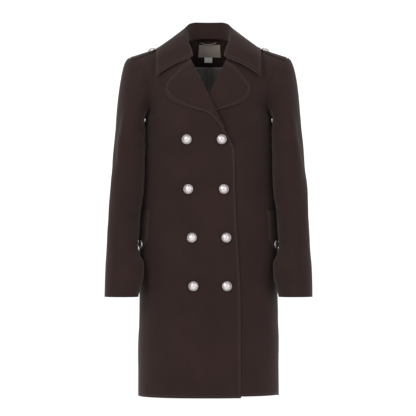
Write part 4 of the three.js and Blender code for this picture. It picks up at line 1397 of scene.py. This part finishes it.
def button_face(name, radius):
    """Rings of the profile round the middle, with petals raised on the face."""
    angle = np.linspace(0, 2 * math.pi, BUTTON_SIDES, endpoint=False)
    petal = np.abs(np.cos(angle * PETALS / 2))
    reach = 0.30 + 0.34 * petal
    points, relief = [(0, 0, BUTTON_PROFILE[0][1] * radius)], [0.9]
    for share, height, shade in BUTTON_PROFILE[1:-1]:
        in_petal = smooth(np.full(BUTTON_SIDES, share), reach + 0.05, reach - 0.03)
        is_face = share < FACE_SHARE
        raised = PETAL_HEIGHT * in_petal * (share > 0.12) * is_face
        points += [(share * radius * math.cos(a), share * radius * math.sin(a), (height + up) * radius)
                   for a, up in zip(angle, raised)]
        relief += list(mix(0.25, 1.0, in_petal)) if is_face else [shade] * BUTTON_SIDES
    points.append((0, 0, BUTTON_PROFILE[-1][1] * radius))
    relief.append(0.1)
    faces = []
    last = 1 + (len(BUTTON_PROFILE) - 3) * BUTTON_SIDES
    for i in range(BUTTON_SIDES):
        k = (i + 1) % BUTTON_SIDES
        faces.append((0, 1 + i, 1 + k))
        faces += [(a + i, a + BUTTON_SIDES + i, a + BUTTON_SIDES + k, a + k) for a in range(1, last, BUTTON_SIDES)]
        faces.append((last + k, last + i, len(points) - 1))
    face = mesh_object(name, np.array(points) * MM, faces, PEWTER)
    paint(face, "relief", relief)
    return face


def make_button(cad_name, radius, base, above, side=1):
    """A button at a point of the cloth, facing the point one millimetre above it."""
    name = "coat_" + cad_name
    button = baked(button_face(name + "_face", radius), ROPE, {
        "Ring radius": radius * 0.915 * MM, "Bead radius": radius * 0.088 * MM, "Height": radius * 0.29 * MM,
        "Beads": BEADS, "Slant": BEAD_SLANT}, name)
    turned = np.array([side, 1, 1])
    outward = Vector((above - base) * turned).normalized()
    spin = Vector((0, 0, 1)).rotation_difference(outward).to_matrix().to_4x4()
    button.data.transform(Matrix.Translation((Vector(base * turned) + outward * BUTTON_AIR) * MM) @ spin)
    button.data.update()
    declare(button, "pewter", cad_name)


for k, (z, *columns) in enumerate(BUTTON_ROWS):
    for column, x in zip(("left", "right"), columns):
        lift = overlap_lift(at(x), at(z))
        make_button(f"button_{column}_{k + 1}", COAT_BUTTON_RADIUS,
                    *(over_skin(-1, at(x), at(z), lift + out) for out in (0, 1)))
flap_middle = (FLAP_FRONT_TURN + FLAP_BACK_TURN) / 2
for side, sign in (("right", 1), ("left", -1)):
    make_button(f"epaulette_button_{side}", SMALL_BUTTON_RADIUS,
                *(on_shoulder(*map(at, STRAP_BUTTON), LIE + WALL + out) for out in (0, 1)), side=sign)
    make_button(f"flap_button_{side}", SMALL_BUTTON_RADIUS,
                *(flap_point(at(flap_middle), at(FLAP_BUTTON_Z), LIE + WALL + 0.6 + out) for out in (0, 1)), side=sign)
print("twelve buttons")

# %% [markdown]
# ## Topstitching
# A row of stitches runs a little inside each turned edge. The lines were kept while the panels
# were made. A second tree walks each line and lays one short thread at every step.

# %% The stitch tree
STITCH_STEP = 0.0042
STITCH_SHARE = 0.36
THREAD_RADIUS = 0.00035


def stitch_tree():
    tree, given, result = new_tree("GeometryNodeTree", "stitches along lines", [
        ("Lines", "Geometry", None), ("Step", "Float", STITCH_STEP), ("Thread radius", "Float", THREAD_RADIUS)],
        [("Stitches", "Geometry")])
    curve = node(tree, "GeometryNodeMeshToCurve", {"Mesh": given["Lines"]})
    walk = node(tree, "GeometryNodeResampleCurve", {
        "Curve": curve.outputs["Curve"], "Length": given["Step"]}, mode="LENGTH")
    bead = node(tree, "GeometryNodeMeshUVSphere", {"Segments": 6, "Rings": 4, "Radius": 1.0})
    size = node(tree, "ShaderNodeCombineXYZ", {
        "X": given["Thread radius"], "Y": given["Thread radius"],
        "Z": calc(tree, "MULTIPLY", given["Step"], STITCH_SHARE)})
    sewn = set_along(tree, walk.outputs["Curve"], bead.outputs["Mesh"], along_curve(tree), size.outputs["Vector"])
    return coated(tree, sewn, THREAD, result["Stitches"])


STITCHES = stitch_tree()
print("lines to stitch", len(stitch_lines))

# %% Stitching the coat
def stitch_coat():
    points, edges = [], []
    for line in stitch_lines:
        first = len(points)
        points.extend(tuple(p) for p in line * MM)
        edges.extend((first + k, first + k + 1) for k in range(len(line) - 1))
    mesh = bpy.data.meshes.new("stitch lines")
    mesh.from_pydata(points, edges, [])
    made = baked(shown(bpy.data.objects.new("stitch lines", mesh)), STITCHES, {
        "Step": STITCH_STEP, "Thread radius": THREAD_RADIUS}, "coat_stitches")
    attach(made, "root")
    return made


stitches = stitch_coat()
print("stitches have", len(stitches.data.polygons), "faces")
